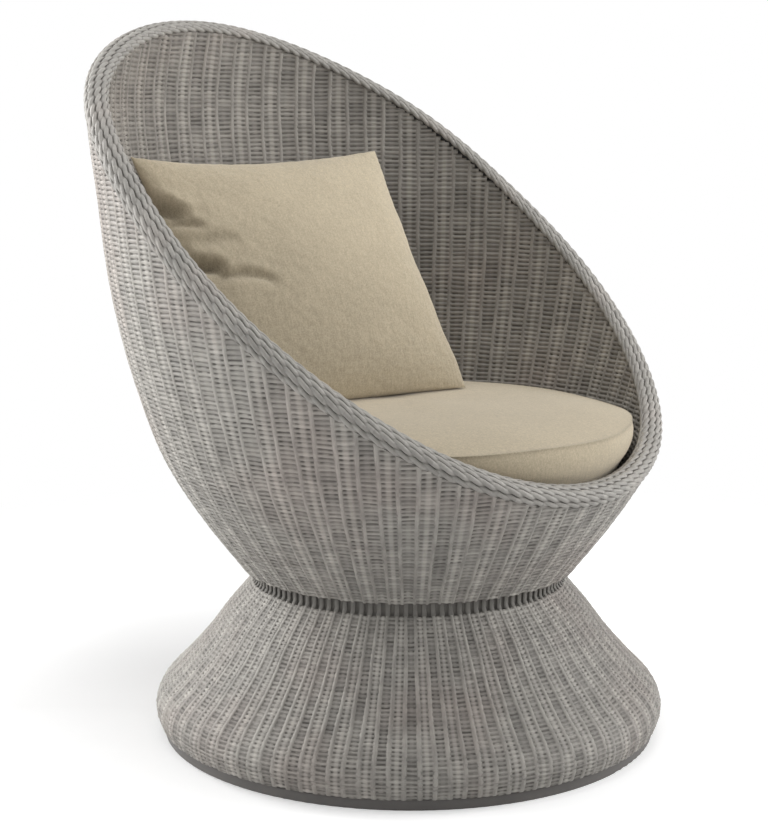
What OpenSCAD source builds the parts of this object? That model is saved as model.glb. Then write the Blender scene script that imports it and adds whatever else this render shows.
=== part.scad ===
// Woven pod chair. A round bowl, cut on a slant, is woven over a frame of hoops and
// upright rods. It turns on a ball bearing in the waist of a flared woven base, and
// holds a round seat cushion and a loose square back cushion.
// The origin is on the floor under the king pin, +Z is up and the chair faces -Y.
// All lengths are in millimetres.

/* [Bowl] */
// Widest outer radius of the bowl
bowl_r = 440; // [425:5:455]
// Height of the bowl from its lower edge to the top of the back
bowl_h = 774; // [750:2:800]
// Height of the front of the slanted rim above the bowl's lower edge
rim_front_rise = 149.5; // [140:0.5:160]
// Thickness of one woven skin
skin_t = 4; // [3:0.5:5]
// Diameter of the upright rods
rib_d = 12; // [10:1:14]
// Number of upright rods in the bowl
bowl_rib_count = 10; // [8:1:12]
// Diameter of the slim hoops inside the bowl's wall
hoop_d = 8; // [6:1:10]
// Diameter of the hoops at the neck of the bowl and at the top of the base
neck_hoop_d = 20; // [16:1:22]

/* [Rim] */
// Diameter of the tube along the rim
rim_tube_d = 19; // [16:0.5:19]
// Thickness of the braided border over the rim
border_t = 3; // [2:0.5:4]
// Reach of the border down the outer skin
border_drop = 30; // [26:1:36]
// Height of the border's rounded top above its widest place
border_crown = 12; // [11:0.5:14]
// Height by which the border stands above the cut of the bowl
border_rise = 2; // [0:0.5:3]

/* [Seat] */
// Depth of the underside of the seat deck below the front of the rim
deck_drop = 17.5; // [15:0.5:20]
// Thickness of the woven seat deck
deck_t = 5; // [4:0.5:6]
// Diameter of the hoop that carries the seat deck
seat_hoop_d = 16; // [12:1:18]
// Diameter of the bars under the seat deck
deck_bar_d = 16; // [12:1:18]
// Number of bars under the seat deck
deck_bar_count = 4; // [3:1:5]
// Height of the seat cushion from the deck to its upper seam
seat_cushion_h = 75; // [60:1:80]
// Height of the seat cushion's crown above its upper seam
seat_crown = 22; // [10:1:30]
// Room between the seat cushion and the bowl
seat_room = 8; // [5:0.5:10]

/* [Back cushion] */
// Side of the square back cushion, from corner to corner
back_size = 411; // [380:1:420]
// Thickness of the back cushion at its middle
back_t = 128; // [100:1:130]
// Distance by which the middle of its top and sides is drawn in
back_drawn_in = 12; // [0:1:20]
// The same for the lower side, which lies on the seat cushion
back_lower_drawn_in = 3; // [0:0.5:6]
// Angle by which the back cushion leans backward
back_lean = 34.8; // [33:0.1:37]
// Angle by which the back cushion is turned from facing straight ahead
back_turn = -18.3; // [-20:0.1:-16]
// Angle by which the back cushion is tipped sideways in its own plane
back_roll = -1.4; // [-2:0.1:0]
// Direction of the corner that leans on the bowl, seen from above
back_corner_turn = 119.6; // [117:0.1:122]
// Room between that corner and the bowl
back_corner_room = 10; // [8:1:14]
// Room between the lower edge of the back cushion and the seat cushion's crown
back_rest_room = 2.5; // [2.5:0.5:8]
// Thickness of the cushion covers
cover_t = 1.5; // [1:0.25:2]

/* [Base] */
// Widest outer radius of the woven base
skirt_r = 364; // [350:1:380]
// Height of the woven base
base_h = 222; // [214:1:230]
// Height of the smooth foot hoop on the floor
foot_h = 16; // [12:1:20]
// Width of the foot hoop
foot_w = 20; // [16:1:24]
// Radius of the foot hoop's rounded edges
foot_round = 3; // [2:0.5:5]
// Distance from the widest part of the base in to the foot hoop's outer face
foot_inset = 12; // [11:0.5:14]
// Number of upright rods in the base
base_rib_count = 8; // [6:1:10]
// Diameter of the two slim hoops inside the base
base_hoop_d = 10; // [8:1:12]

/* [Swivel] */
// Height of the open gap between the base and the bowl
neck_gap = 16; // [14:1:20]
// Radius of the ring of balls
race_r = 90; // [80:1:95]
// Diameter of one ball
ball_d = 10; // [8:0.5:12]
// Number of balls
ball_count = 24; // [16:1:26]
// Width of the race rings
race_w = 26; // [22:1:30]
// Thickness of the bearing plates
plate_t = 4; // [3:0.5:5]
// Outer radius of the bearing plates
plate_r = 130; // [125:1:140]
// Diameter of the king pin
pin_d = 20; // [16:1:24]
// Thickness of the arms that carry the bearing
arm_t = 6; // [5:0.5:8]
// Width of those arms
arm_w = 40; // [32:1:48]
// Thread size of the bearing's bolts
bolt_d = 8; // [6:1:10]

/* [Hidden] */

// Clearances
part_gap = 0.3;
border_gap = 0.8;
running_gap = 0.05;
hole_gap = 0.2;
overrun = 1;

// Outlines as shares: [height share of the form, radius share of the form]
bowl_shares = [[0, 0.54], [0.09, 0.66], [0.20, 0.78], [0.33, 0.865],
               [0.49, 0.935], [0.67, 0.975], [0.86, 1], [1, 0.955]];
skirt_shares = [[0, 0.982], [0.10, 1], [0.22, 0.983], [0.39, 0.895],
                [0.585, 0.797], [0.78, 0.714], [0.95, 0.632], [1, 0.61]];
// Side of the seat cushion: [share of its height, share of its seam radius]
seat_side_shares = [[0, 0.90], [0.06, 0.925], [0.19, 0.95], [0.33, 0.968],
                    [0.46, 0.988], [0.66, 1.007], [0.85, 1.01], [1, 1]];

// Heights
skirt_bottom = foot_h;
skirt_h = base_h - skirt_bottom;
bowl_bottom = base_h + neck_gap;
bowl_top = bowl_bottom + bowl_h;
rim_front_z = bowl_bottom + rim_front_rise;
deck_z = rim_front_z - deck_drop;
deck_top = deck_z + deck_t;

// A form is [shares, radius, lower edge, height, number of steps]
bowl_steps = 24;
skirt_steps = 14;
bowl = [bowl_shares, bowl_r, bowl_bottom, bowl_h, bowl_steps];
skirt = [skirt_shares, skirt_r, skirt_bottom, skirt_h, skirt_steps];

// The rim slants from its low front up to the top of the back
rim_front_r = radius(bowl, rim_front_z);
rim_slope = (bowl_top - rim_front_z) / (rim_front_r + radius(bowl, bowl_top));
rim_tilt = atan(rim_slope);
rim_mid = rim_front_z + rim_slope * rim_front_r;

// Depths of the pieces in the wall, measured inward from the outer face
rib_depth = skin_t + part_gap + rib_d / 2;
hoop_depth = rib_depth + rib_d / 2 + part_gap + hoop_d / 2;
base_hoop_depth = rib_depth + rib_d / 2 + part_gap + base_hoop_d / 2;
seat_hoop_depth = rib_depth + rib_d / 2 + part_gap + seat_hoop_d / 2;
neck_hoop_depth = skin_t + part_gap + neck_hoop_d / 2;
inner_skin_depth = hoop_depth + hoop_d / 2 + part_gap;
wall_t = inner_skin_depth + skin_t;

// Border over the rim, in distances out from the outer face and up from the cut
rim_mid_out = -wall_t / 2;
border_reach = wall_t / 2 + border_gap + border_t;
border_level = border_rise - border_crown;
rim_tube_level = border_rise - border_t - border_gap - rim_tube_d / 2;
skin_tuck = 1.5;
skin_end_level = border_level - skin_tuck;
border_return = skin_end_level - border_t;
rim_steps = 84;
rim_tries = 24;

// Facets
round_fn = 96;
small_fn = 48;
rod_sides = 8;
tube_sides = 10;
arc_steps = 8;
pillow_steps = 16;

// Swivel stack, from the base's top hoop up to the bowl's neck hoop
top_hoop_room = 6;
neck_hoop_room = 6;
race_lip_share = 0.7;
cage_t = 3;
bolt_circle_r = (race_r + race_w / 2 + plate_r) / 2;

// Colours
weave_colour = "#a5a098";
inner_weave_colour = "#8d8881";
border_colour = "#9a958e";
frame_colour = "#4c4b4a";
foot_colour = "#6f6c69";
steel_colour = "#b9bcc0";
cage_colour = "#c9b06a";
cushion_colour = "#c5b792";
filling_colour = "#f0ede4";

// Smooth curve through a table of [place, value] stations
function span_of(table, t, i = 0) =
    i >= len(table) - 2 || t < table[i + 1][0] ? i : span_of(table, t, i + 1);
function rise_after(table, i) =
    (table[i + 1][1] - table[i][1]) / (table[i + 1][0] - table[i][0]);
function rise_at(table, i) =
    i == 0 ? rise_after(table, 0)
    : i == len(table) - 1 ? rise_after(table, i - 1)
    : let (before = table[i][0] - table[i - 1][0], after = table[i + 1][0] - table[i][0])
      (rise_after(table, i - 1) * after + rise_after(table, i) * before) / (before + after);
function smooth(table, t) =
    let (i = span_of(table, t),
         width = table[i + 1][0] - table[i][0],
         s = (t - table[i][0]) / width)
    table[i][1] * (1 + 2 * s) * pow(1 - s, 2)
    + rise_at(table, i) * width * s * pow(1 - s, 2)
    + table[i + 1][1] * s * s * (3 - 2 * s)
    + rise_at(table, i + 1) * width * s * s * (s - 1);

// Outer radius of a form at a height, its outward lean there, and a point in its wall
slope_share = 0.002;
function radius(form, z) = form[1] * smooth(form[0], (z - form[2]) / form[3]);
function lean(form, z) =
    let (e = slope_share * form[3]) atan((radius(form, z + e) - radius(form, z - e)) / (2 * e));
function wall_at(form, z, depth) =
    let (s = lean(form, z)) [radius(form, z) - depth * cos(s), z + depth * sin(s)];
// Outer height of the wall point that lies at this height and depth
function outer_z(form, height, depth, tries = 12, z = undef) =
    let (now = z == undef ? height : z)
    tries == 0 ? now
    : outer_z(form, height, depth, tries - 1, height - depth * sin(lean(form, now)));
function inside_r(form, height, depth) =
    wall_at(form, outer_z(form, height, depth), depth).x;

// Heights of a form's own steps between two ends
function step_z(form, i) = form[2] + form[3] * i / form[4];
function heights(form, low, high) =
    let (margin = form[3] / form[4] / 4)
    concat([low],
           [for (i = [0:form[4]]) let (z = step_z(form, i))
            if (z > low + margin && z < high - margin) z],
           [high]);
function backward(list) = [for (i = [len(list) - 1:-1:0]) list[i]];

function unit(v) = v / norm(v);
function polar(r, a, z) = [r * cos(a), r * sin(a), z];

// The rim: where the outer face meets the slanted cut, with the wall's outward
// direction and the direction up along the wall, square to the rim
function rim_z(a, z, tries) =
    tries == 0 ? z
    : rim_z(a, rim_mid + rim_slope * radius(bowl, z) * sin(a), tries - 1);
function rim_point(a) =
    let (z = rim_z(a, rim_mid, rim_tries)) polar(radius(bowl, z), a, z);
function rim_frame(a) =
    let (p = rim_point(a),
         s = lean(bowl, p.z),
         out = [cos(s) * cos(a), cos(s) * sin(a), -sin(s)],
         along = unit(rim_point(a + 1) - rim_point(a - 1)))
    [p, out, cross(out, along)];
// A point at the rim: out from the outer face, and up from the cut along the curved wall
function rim_place(frame, out, up) =
    let (p = frame[0] + up * frame[2],
         sag = (radius(bowl, p.z) - norm([p.x, p.y])) * cos(lean(bowl, p.z)))
    p + (out + sag) * frame[1];

// Rings of points joined into one closed skin
function ring_faces(count, sides, closed) =
    [for (i = [0:count - (closed ? 1 : 2)], k = [0:sides - 1])
        let (j = (i + 1) % count, m = (k + 1) % sides,
             a = i * sides + k, b = i * sides + m, c = j * sides + m, d = j * sides + k)
        each [[a, c, b], [a, d, c]]];
module ring_skin(rings, closed = false) {
    sides = len(rings[0]);
    count = len(rings);
    start_cap = [for (k = [0:sides - 1]) k];
    end_cap = [for (k = [0:sides - 1]) count * sides - 1 - k];
    polyhedron(points = [for (ring = rings) each ring],
               faces = closed ? ring_faces(count, sides, true)
                   : concat(ring_faces(count, sides, false), [start_cap, end_cap]),
               convexity = 6);
}

// A rod up the wall of a form at one angle, with its ends cut square to two directions
function rod_ring(p, along, side, normal, d) =
    let (front = cross(along, side))
    [for (k = [0:rod_sides - 1])
        let (turn = (k + 0.5) * 360 / rod_sides,
             q = d / 2 * (cos(turn) * side + sin(turn) * front))
        p + q - along * (q * normal) / (along * normal)];
module wall_rod(form, a, depth, low, high, d, low_normal = undef, top_normal = undef) {
    side = [-sin(a), cos(a), 0];
    path = [for (z = heights(form, low, high))
            let (w = wall_at(form, z, depth)) polar(w.x, a, w.y)];
    last = len(path) - 1;
    ring_skin([for (i = [0:last])
        let (along = unit(path[min(i + 1, last)] - path[max(i - 1, 0)]),
             normal = i == last && top_normal != undef ? top_normal
                 : i == 0 && low_normal != undef ? low_normal : along)
        rod_ring(path[i], along, side, normal, d)]);
}

// A round hoop in the wall of a form, whole or open at the front
module wall_hoop(form, z, depth, d, from = 0, sweep = 360) {
    place = wall_at(form, z, depth);
    rotate_extrude(angle = sweep, start = from, $fn = round_fn)
        translate(place) circle(d = d, $fn = small_fn);
}

// A woven skin of a form between two depths
module woven_skin(form, low, high, depth) {
    levels = heights(form, low, high);
    rotate_extrude($fn = round_fn)
        polygon(concat([for (z = levels) wall_at(form, z, depth)],
                       [for (z = backward(levels)) wall_at(form, z, depth + skin_t)]));
}

// Keeps what lies below the rim, seen at one distance out and one level up
module below_rim(out, level) {
    reach = bowl_top + bowl_r;
    back = rim_place(rim_frame(90), out, level);
    front = rim_place(rim_frame(270), out, level);
    slant = atan2(back.z - front.z, back.y - front.y);
    intersection() {
        children();
        translate([0, front.y, front.z]) rotate([slant, 0, 0])
            translate([-reach, -reach, -2 * reach]) cube(2 * reach);
    }
}

// Hexagonal bolt that hangs down from under its head, and its nut
head_share = 0.66;
nut_share = 0.8;
across_share = 1.63;
tip_share = 0.3;
bolt_grip = plate_t + arm_t;
nut_h = nut_share * bolt_d;
bolt_length = bolt_grip + nut_h + tip_share * bolt_d;
module hex_bolt(d, length) {
    cylinder(h = head_share * d, d = across_share * d / cos(30), $fn = 6);
    translate([0, 0, -length]) cylinder(h = length, d = d, $fn = small_fn);
}
module hex_nut(d, h) {
    difference() {
        cylinder(h = h, d = across_share * d / cos(30), $fn = 6);
        translate([0, 0, -overrun])
            cylinder(h = h + 2 * overrun, d = d + 2 * hole_gap, $fn = small_fn);
    }
}
module on_bolt_circle() {
    for (i = [0:3]) rotate(45 + 90 * i) translate([bolt_circle_r, 0, 0]) children();
}

// Places of the swivel's pieces
top_hoop = wall_at(skirt, base_h - top_hoop_room, neck_hoop_depth);
neck_hoop = wall_at(bowl, bowl_bottom + neck_hoop_room, neck_hoop_depth);
base_arm_z = top_hoop.y - arm_t / 2;
lower_plate_z = base_arm_z + arm_t;
bowl_arm_z = neck_hoop.y - arm_t / 2;
upper_plate_z = bowl_arm_z - plate_t;
ball_z = (lower_plate_z + plate_t + upper_plate_z) / 2;
race_half_gap = race_lip_share * ball_d / 2;
lower_race_top = ball_z - race_half_gap;
upper_race_bottom = ball_z + race_half_gap;
groove_r = ball_d / 2 + part_gap;
hub_share = 1.6;
bush_share = 2;
cage_share = 1.5;
washer_share = 2;

module spider(reach_r) {
    arm = sqrt(pow(reach_r, 2) - pow(arm_w / 2, 2));
    linear_extrude(arm_t) difference() {
        union() {
            circle(r = hub_share * pin_d, $fn = small_fn);
            for (i = [0:3]) rotate(45 + 90 * i)
                translate([0, -arm_w / 2]) square([arm, arm_w]);
        }
        circle(d = pin_d + 2 * hole_gap, $fn = small_fn);
        on_bolt_circle() circle(d = bolt_d + 2 * hole_gap, $fn = small_fn);
    }
}
module plate_disc(bore_d) {
    linear_extrude(plate_t) difference() {
        circle(r = plate_r, $fn = round_fn);
        circle(d = bore_d, $fn = small_fn);
        on_bolt_circle() circle(d = bolt_d + 2 * hole_gap, $fn = small_fn);
    }
}
module race_ring(low, high) {
    rotate_extrude($fn = round_fn) difference() {
        translate([race_r - race_w / 2, low]) square([race_w, high - low]);
        translate([race_r, ball_z]) circle(r = groove_r, $fn = small_fn);
    }
}

// Base
module foot_hoop() {
    outer = skirt_r - foot_inset;
    color(foot_colour) rotate_extrude($fn = round_fn) union() {
        translate([outer - foot_w, foot_round]) square([foot_w, foot_h - 2 * foot_round]);
        translate([outer - foot_w + foot_round, 0]) square([foot_w - 2 * foot_round, foot_h]);
        for (r = [outer - foot_w + foot_round, outer - foot_round])
            for (z = [foot_round, foot_h - foot_round])
                translate([r, z]) circle(r = foot_round, $fn = small_fn);
    }
}
bulge_step = 2;
base_mid_step = 8;
module base_bulge_hoop() {
    color(frame_colour)
        wall_hoop(skirt, step_z(skirt, bulge_step), base_hoop_depth, base_hoop_d);
}
module base_mid_hoop() {
    color(frame_colour)
        wall_hoop(skirt, step_z(skirt, base_mid_step), base_hoop_depth, base_hoop_d);
}
module base_top_hoop() {
    color(frame_colour)
        wall_hoop(skirt, base_h - top_hoop_room, neck_hoop_depth, neck_hoop_d);
}
module base_rib(i) {
    top = base_h - top_hoop_room;
    low = outer_z(skirt, foot_h + part_gap, rib_depth);
    high = top - (neck_hoop_d / 2 + part_gap) * cos(lean(skirt, top));
    color(frame_colour)
        wall_rod(skirt, (i - 0.5) * 360 / base_rib_count, rib_depth, low, high, rib_d,
                 low_normal = [0, 0, 1]);
}
module base_skirt() {
    color(weave_colour) woven_skin(skirt, skirt_bottom + part_gap, base_h, 0);
}
module base_spider() {
    color(frame_colour) translate([0, 0, base_arm_z])
        spider(top_hoop.x - neck_hoop_d / 2 - part_gap);
}

// Swivel, lower half
module swivel_lower_plate() {
    color(steel_colour) union() {
        translate([0, 0, lower_plate_z]) plate_disc(pin_d + 2 * hole_gap);
        race_ring(lower_plate_z, lower_race_top);
    }
}
module swivel_balls() {
    color(steel_colour) for (i = [0:ball_count - 1])
        rotate(i * 360 / ball_count) translate([race_r, 0, ball_z])
            sphere(d = ball_d, $fn = small_fn);
}
module swivel_ball_cage() {
    cage_w = cage_share * ball_d;
    color(cage_colour) translate([0, 0, ball_z - cage_t / 2]) difference() {
        linear_extrude(cage_t) difference() {
            circle(r = race_r + cage_w / 2, $fn = round_fn);
            circle(r = race_r - cage_w / 2, $fn = round_fn);
        }
        for (i = [0:ball_count - 1])
            rotate(i * 360 / ball_count) translate([race_r, 0, -overrun])
                cylinder(h = cage_t + 2 * overrun, d = ball_d + 2 * part_gap, $fn = small_fn);
    }
}
washer_t = 3;
king_nut_share = 0.8;
king_nut_z = bowl_arm_z + arm_t + part_gap + washer_t;
king_pin_top = king_nut_z + king_nut_share * pin_d + tip_share * pin_d;
module king_pin() {
    color(steel_colour) union() {
        translate([0, 0, base_arm_z - head_share * pin_d])
            cylinder(h = head_share * pin_d, d = across_share * pin_d / cos(30), $fn = 6);
        translate([0, 0, base_arm_z])
            cylinder(h = king_pin_top - base_arm_z, d = pin_d, $fn = small_fn);
    }
}
module king_washer() {
    color(steel_colour) translate([0, 0, king_nut_z - washer_t]) linear_extrude(washer_t)
        difference() {
            circle(d = washer_share * pin_d, $fn = small_fn);
            circle(d = pin_d + 2 * hole_gap, $fn = small_fn);
        }
}
module king_nut() {
    color(steel_colour) translate([0, 0, king_nut_z])
        hex_nut(pin_d, king_nut_share * pin_d);
}
module base_bolts() {
    color(steel_colour) translate([0, 0, lower_plate_z + plate_t])
        on_bolt_circle() hex_bolt(bolt_d, bolt_length);
}
module base_nuts() {
    color(steel_colour) translate([0, 0, base_arm_z - nut_h])
        on_bolt_circle() hex_nut(bolt_d, nut_h);
}

// Swivel, upper half
module swivel_upper_plate() {
    color(steel_colour) union() {
        translate([0, 0, upper_plate_z]) plate_disc(pin_d + 2 * running_gap);
        race_ring(upper_race_bottom, upper_plate_z + plate_t);
        translate([0, 0, upper_race_bottom]) difference() {
            cylinder(h = upper_plate_z - upper_race_bottom, d = bush_share * pin_d,
                     $fn = small_fn);
            translate([0, 0, -overrun]) cylinder(h = bowl_h, d = pin_d + 2 * running_gap,
                                                 $fn = small_fn);
        }
    }
}
module bowl_spider() {
    color(frame_colour) translate([0, 0, bowl_arm_z])
        spider(neck_hoop.x - neck_hoop_d / 2 - part_gap);
}
module bowl_bolts() {
    color(steel_colour) translate([0, 0, upper_plate_z]) mirror([0, 0, 1])
        on_bolt_circle() hex_bolt(bolt_d, bolt_length);
}
module bowl_nuts() {
    color(steel_colour) translate([0, 0, bowl_arm_z + arm_t])
        on_bolt_circle() hex_nut(bolt_d, nut_h);
}

// Frame of the bowl
low_hoop_step = 2;
waist_hoop_step = 8;
mid_hoop_step = 13;
high_hoop_step = 17;
module bowl_neck_hoop() {
    color(frame_colour)
        wall_hoop(bowl, bowl_bottom + neck_hoop_room, neck_hoop_depth, neck_hoop_d);
}
module bowl_low_hoop() {
    color(frame_colour)
        wall_hoop(bowl, step_z(bowl, low_hoop_step), hoop_depth, hoop_d);
}
// A hoop round the back whose ends stop just under the tube of the rim
module back_hoop(step) {
    z = step_z(bowl, step);
    below = (rim_tube_d + hoop_d) / 2 + 2 * part_gap - rim_tube_level;
    meet = wall_at(bowl, z, hoop_depth).y + below / cos(rim_tilt);
    end = asin((meet - rim_mid) / (rim_slope * radius(bowl, meet)));
    color(frame_colour)
        wall_hoop(bowl, z, hoop_depth, hoop_d, end, 180 - 2 * end);
}
module bowl_waist_hoop() { back_hoop(waist_hoop_step); }
module bowl_mid_hoop() { back_hoop(mid_hoop_step); }
module bowl_high_hoop() { back_hoop(high_hoop_step); }
module bowl_rib(i) {
    a = (i - 0.5) * 360 / bowl_rib_count;
    frame = rim_frame(a);
    s = lean(bowl, frame[0].z);
    up_wall = [sin(s) * cos(a), sin(s) * sin(a), cos(s)];
    below = rim_tube_d / 2 + 2 * part_gap - rim_tube_level;
    start = bowl_bottom + neck_hoop_room;
    low = start + (neck_hoop_d / 2 + 2 * part_gap) * cos(lean(bowl, start));
    high = frame[0].z - cos(s) * below / (up_wall * frame[2]);
    color(frame_colour) wall_rod(bowl, a, rib_depth, low, high, rib_d,
                                 top_normal = frame[2]);
}
module rim_tube() {
    color(frame_colour) ring_skin([for (i = [0:rim_steps - 1])
        let (frame = rim_frame(i * 360 / rim_steps),
             p = rim_place(frame, rim_mid_out, rim_tube_level))
        [for (k = [0:tube_sides - 1])
            let (turn = -k * 360 / tube_sides)
            p + rim_tube_d / 2 * (cos(turn) * frame[1] + sin(turn) * frame[2])]],
        closed = true);
}

// Woven skins of the bowl and the braided border over its rim
module outer_weave() {
    color(weave_colour) below_rim(0, skin_end_level)
        woven_skin(bowl, bowl_bottom, bowl_top, 0);
}
module inner_weave() {
    start = outer_z(bowl, deck_z - part_gap, inner_skin_depth);
    color(inner_weave_colour) below_rim(-wall_t, skin_end_level)
        woven_skin(bowl, start, bowl_top, inner_skin_depth);
}
// Section of the border: [out from the outer face, up from the cut]
function border_arc(reach, crown) =
    [for (k = [0:arc_steps]) let (turn = 180 * k / arc_steps)
        [rim_mid_out + reach * cos(turn), border_level + crown * sin(turn)]];
border_section = concat(
    [[border_gap + border_t, -border_drop]],
    border_arc(border_reach, border_crown),
    [[-wall_t - border_gap - border_t, border_return], [-wall_t - border_gap, border_return]],
    backward(border_arc(border_reach - border_t, border_crown - border_t)),
    [[border_gap, -border_drop]]);
module rim_border() {
    color(border_colour) ring_skin([for (i = [0:rim_steps - 1])
        let (frame = rim_frame(i * 360 / rim_steps))
        [for (p = backward(border_section)) rim_place(frame, p.x, p.y)]],
        closed = true);
}

// Seat deck on its hoop and bars
seat_hoop_z = deck_z - seat_hoop_d / 2 - part_gap;
seat_hoop_r = inside_r(bowl, seat_hoop_z, seat_hoop_depth);
module seat_hoop() {
    color(frame_colour) wall_hoop(bowl, outer_z(bowl, seat_hoop_z, seat_hoop_depth),
                                  seat_hoop_depth, seat_hoop_d);
}
module seat_deck() {
    color(inner_weave_colour) translate([0, 0, deck_z])
        cylinder(h = deck_t, r = inside_r(bowl, deck_z, wall_t) - border_gap, $fn = round_fn);
}
module deck_bar(i) {
    inside = seat_hoop_r - seat_hoop_d / 2 - part_gap;
    x = inside * (2 * i - 1 - deck_bar_count) / deck_bar_count;
    half = sqrt(pow(inside, 2) - pow(abs(x) + deck_bar_d / 2, 2));
    color(frame_colour) translate([x, half, deck_z - part_gap - deck_bar_d / 2])
        rotate([90, 0, 0]) cylinder(h = 2 * half, d = deck_bar_d, $fn = small_fn);
}

// Seat cushion. Its side takes the widest form that fits between the woven wall and
// the rounded border at the front, with seat_room to spare.
seat_bottom = deck_top + part_gap;
front_roll = rim_place(rim_frame(270), rim_mid_out, border_level);
function roll_r(z) =
    let (h = z - front_roll.z)
    abs(h) < border_reach
    ? norm([front_roll.x, front_roll.y]) - sqrt(pow(border_reach, 2) - h * h) : bowl_r;
seat_seam_r = min([for (s = seat_side_shares)
    let (z = seat_bottom + s[0] * seat_cushion_h)
    (min(roll_r(z), inside_r(bowl, z, wall_t)) - seat_room) / s[1]]);
seat_top = seat_bottom + seat_cushion_h + seat_crown;
crown_steps = 10;
side_steps = 16;
crown_power = 5;
seat_outline = concat(
    [for (k = [0:crown_steps]) let (s = sin(90 * k / crown_steps))
        [s * seat_seam_r, seat_top - seat_crown * pow(s, crown_power)]],
    [for (k = [1:side_steps]) let (s = 1 - k / side_steps)
        [seat_seam_r * smooth(seat_side_shares, s), seat_bottom + s * seat_cushion_h]],
    [[0, seat_bottom]]);
// The same outline drawn in all round by a thickness
function drawn_in(outline, by) =
    let (middle = (seat_top + seat_bottom) / 2, half = (seat_top - seat_bottom) / 2)
    [for (p = outline) [p.x * (1 - by / seat_seam_r), middle + (p.y - middle) * (1 - by / half)]];
module seat_cushion_cover() {
    color(cushion_colour) rotate_extrude($fn = round_fn) difference() {
        polygon(seat_outline);
        polygon(drawn_in(seat_outline, cover_t));
    }
}
module seat_cushion_foam() {
    color(filling_colour) rotate_extrude($fn = round_fn)
        polygon(drawn_in(seat_outline, cover_t + part_gap));
}

// Back cushion: a square pillow with drawn-in sides, pointed corners and a knife edge.
// Its upper left corner leans on the bowl, its lower edge on the seat cushion.
back_drop = cos(back_lean) * back_size * (cos(back_roll) + sin(back_roll) / 2);
back_corner_z = seat_top + back_rest_room + back_drop;
back_corner_r = inside_r(bowl, back_corner_z, wall_t) - back_corner_room;
pillow_power = 0.5;
function pillow_places(steps) = [for (i = [0:steps]) sin(180 * i / steps - 90)];
function pillow_point(u, v, side, shrink) =
    let (half = back_size / 2 - shrink,
         in_u = (v < 0 ? back_lower_drawn_in : back_drawn_in) * (1 - u * u),
         in_v = back_drawn_in * (1 - v * v))
    [u * (half - in_v), side * (back_t / 2 - shrink) * pow((1 - u * u) * (1 - v * v), pillow_power),
     v * (half - in_u)];
function pillow_grid(side, shrink) =
    let (places = pillow_places(pillow_steps))
    [for (v = places, u = places) pillow_point(u, v, side, shrink)];
function grid_id(i, j) = j * (pillow_steps + 1) + i;
// Both triangles of every square of the grid, cut along the diagonal that runs toward the
// pillow's nearest corner, and the grid's edge in order
pillow_faces = [for (j = [0:pillow_steps - 1], i = [0:pillow_steps - 1])
    let (a = grid_id(i, j), b = grid_id(i + 1, j),
         c = grid_id(i + 1, j + 1), d = grid_id(i, j + 1),
         left = i < pillow_steps / 2, low = j < pillow_steps / 2)
    each (left == low ? [[a, b, c], [a, c, d]] : [[a, b, d], [b, c, d]])];
pillow_edge = concat([for (i = [0:pillow_steps - 1]) grid_id(i, 0)],
                     [for (j = [0:pillow_steps - 1]) grid_id(pillow_steps, j)],
                     [for (i = [pillow_steps:-1:1]) grid_id(i, pillow_steps)],
                     [for (j = [pillow_steps:-1:1]) grid_id(0, j)]);
function raised(faces, by) = [for (f = faces) [for (id = f) id + by]];
function turned_over(faces) = [for (f = faces) backward(f)];
// One half of the cover, domed toward +Y, with a flat seam where it meets the other
module cover_panel() {
    count = pow(pillow_steps + 1, 2);
    around = len(pillow_edge);
    seam = [for (k = [0:around - 1])
        let (a = pillow_edge[k], b = pillow_edge[(k + 1) % around])
        each [[a, a + count, b + count], [a, b + count, b]]];
    polyhedron(points = concat(pillow_grid(1, 0), pillow_grid(1, cover_t)),
               faces = concat(pillow_faces, raised(turned_over(pillow_faces), count), seam),
               convexity = 6);
}
module pillow_fill() {
    shrink = cover_t + part_gap;
    count = pow(pillow_steps + 1, 2);
    // The front half shares the edge points of the back half
    front = [for (f = turned_over(pillow_faces))
        [for (id = f) len(search(id, pillow_edge)) > 0 ? id : id + count]];
    polyhedron(points = concat(pillow_grid(1, shrink), pillow_grid(-1, shrink)),
               faces = concat(pillow_faces, front), convexity = 4);
}
module at_back_cushion() {
    translate(polar(back_corner_r, back_corner_turn, back_corner_z))
        rotate([0, 0, back_turn]) rotate([-back_lean, 0, 0]) rotate([0, back_roll, 0])
            translate([back_size / 2, 0, -back_size / 2]) children();
}
module back_cushion_front_panel() {
    color(cushion_colour) at_back_cushion() mirror([0, 1, 0]) cover_panel();
}
module back_cushion_back_panel() {
    color(cushion_colour) at_back_cushion() cover_panel();
}
module back_cushion_filling() {
    color(filling_colour) at_back_cushion() pillow_fill();
}

foot_hoop();
base_bulge_hoop();
base_mid_hoop();
base_top_hoop();
base_skirt();
for (i = [1:base_rib_count])
    base_rib(i);
base_spider();
swivel_lower_plate();
swivel_balls();
swivel_ball_cage();
king_pin();
king_washer();
king_nut();
base_bolts();
base_nuts();
swivel_upper_plate();
bowl_spider();
bowl_bolts();
bowl_nuts();
bowl_neck_hoop();
bowl_low_hoop();
bowl_waist_hoop();
bowl_mid_hoop();
bowl_high_hoop();
rim_tube();
for (i = [1:bowl_rib_count])
    bowl_rib(i);
outer_weave();
inner_weave();
rim_border();
seat_hoop();
seat_deck();
for (i = [1:deck_bar_count])
    deck_bar(i);
seat_cushion_cover();
seat_cushion_foam();
back_cushion_front_panel();
back_cushion_back_panel();
back_cushion_filling();
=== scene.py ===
"""Looks of the woven pod chair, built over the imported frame. Lengths are in metres."""
import math

import bpy
import numpy as np
from mathutils import Matrix, Vector


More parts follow.
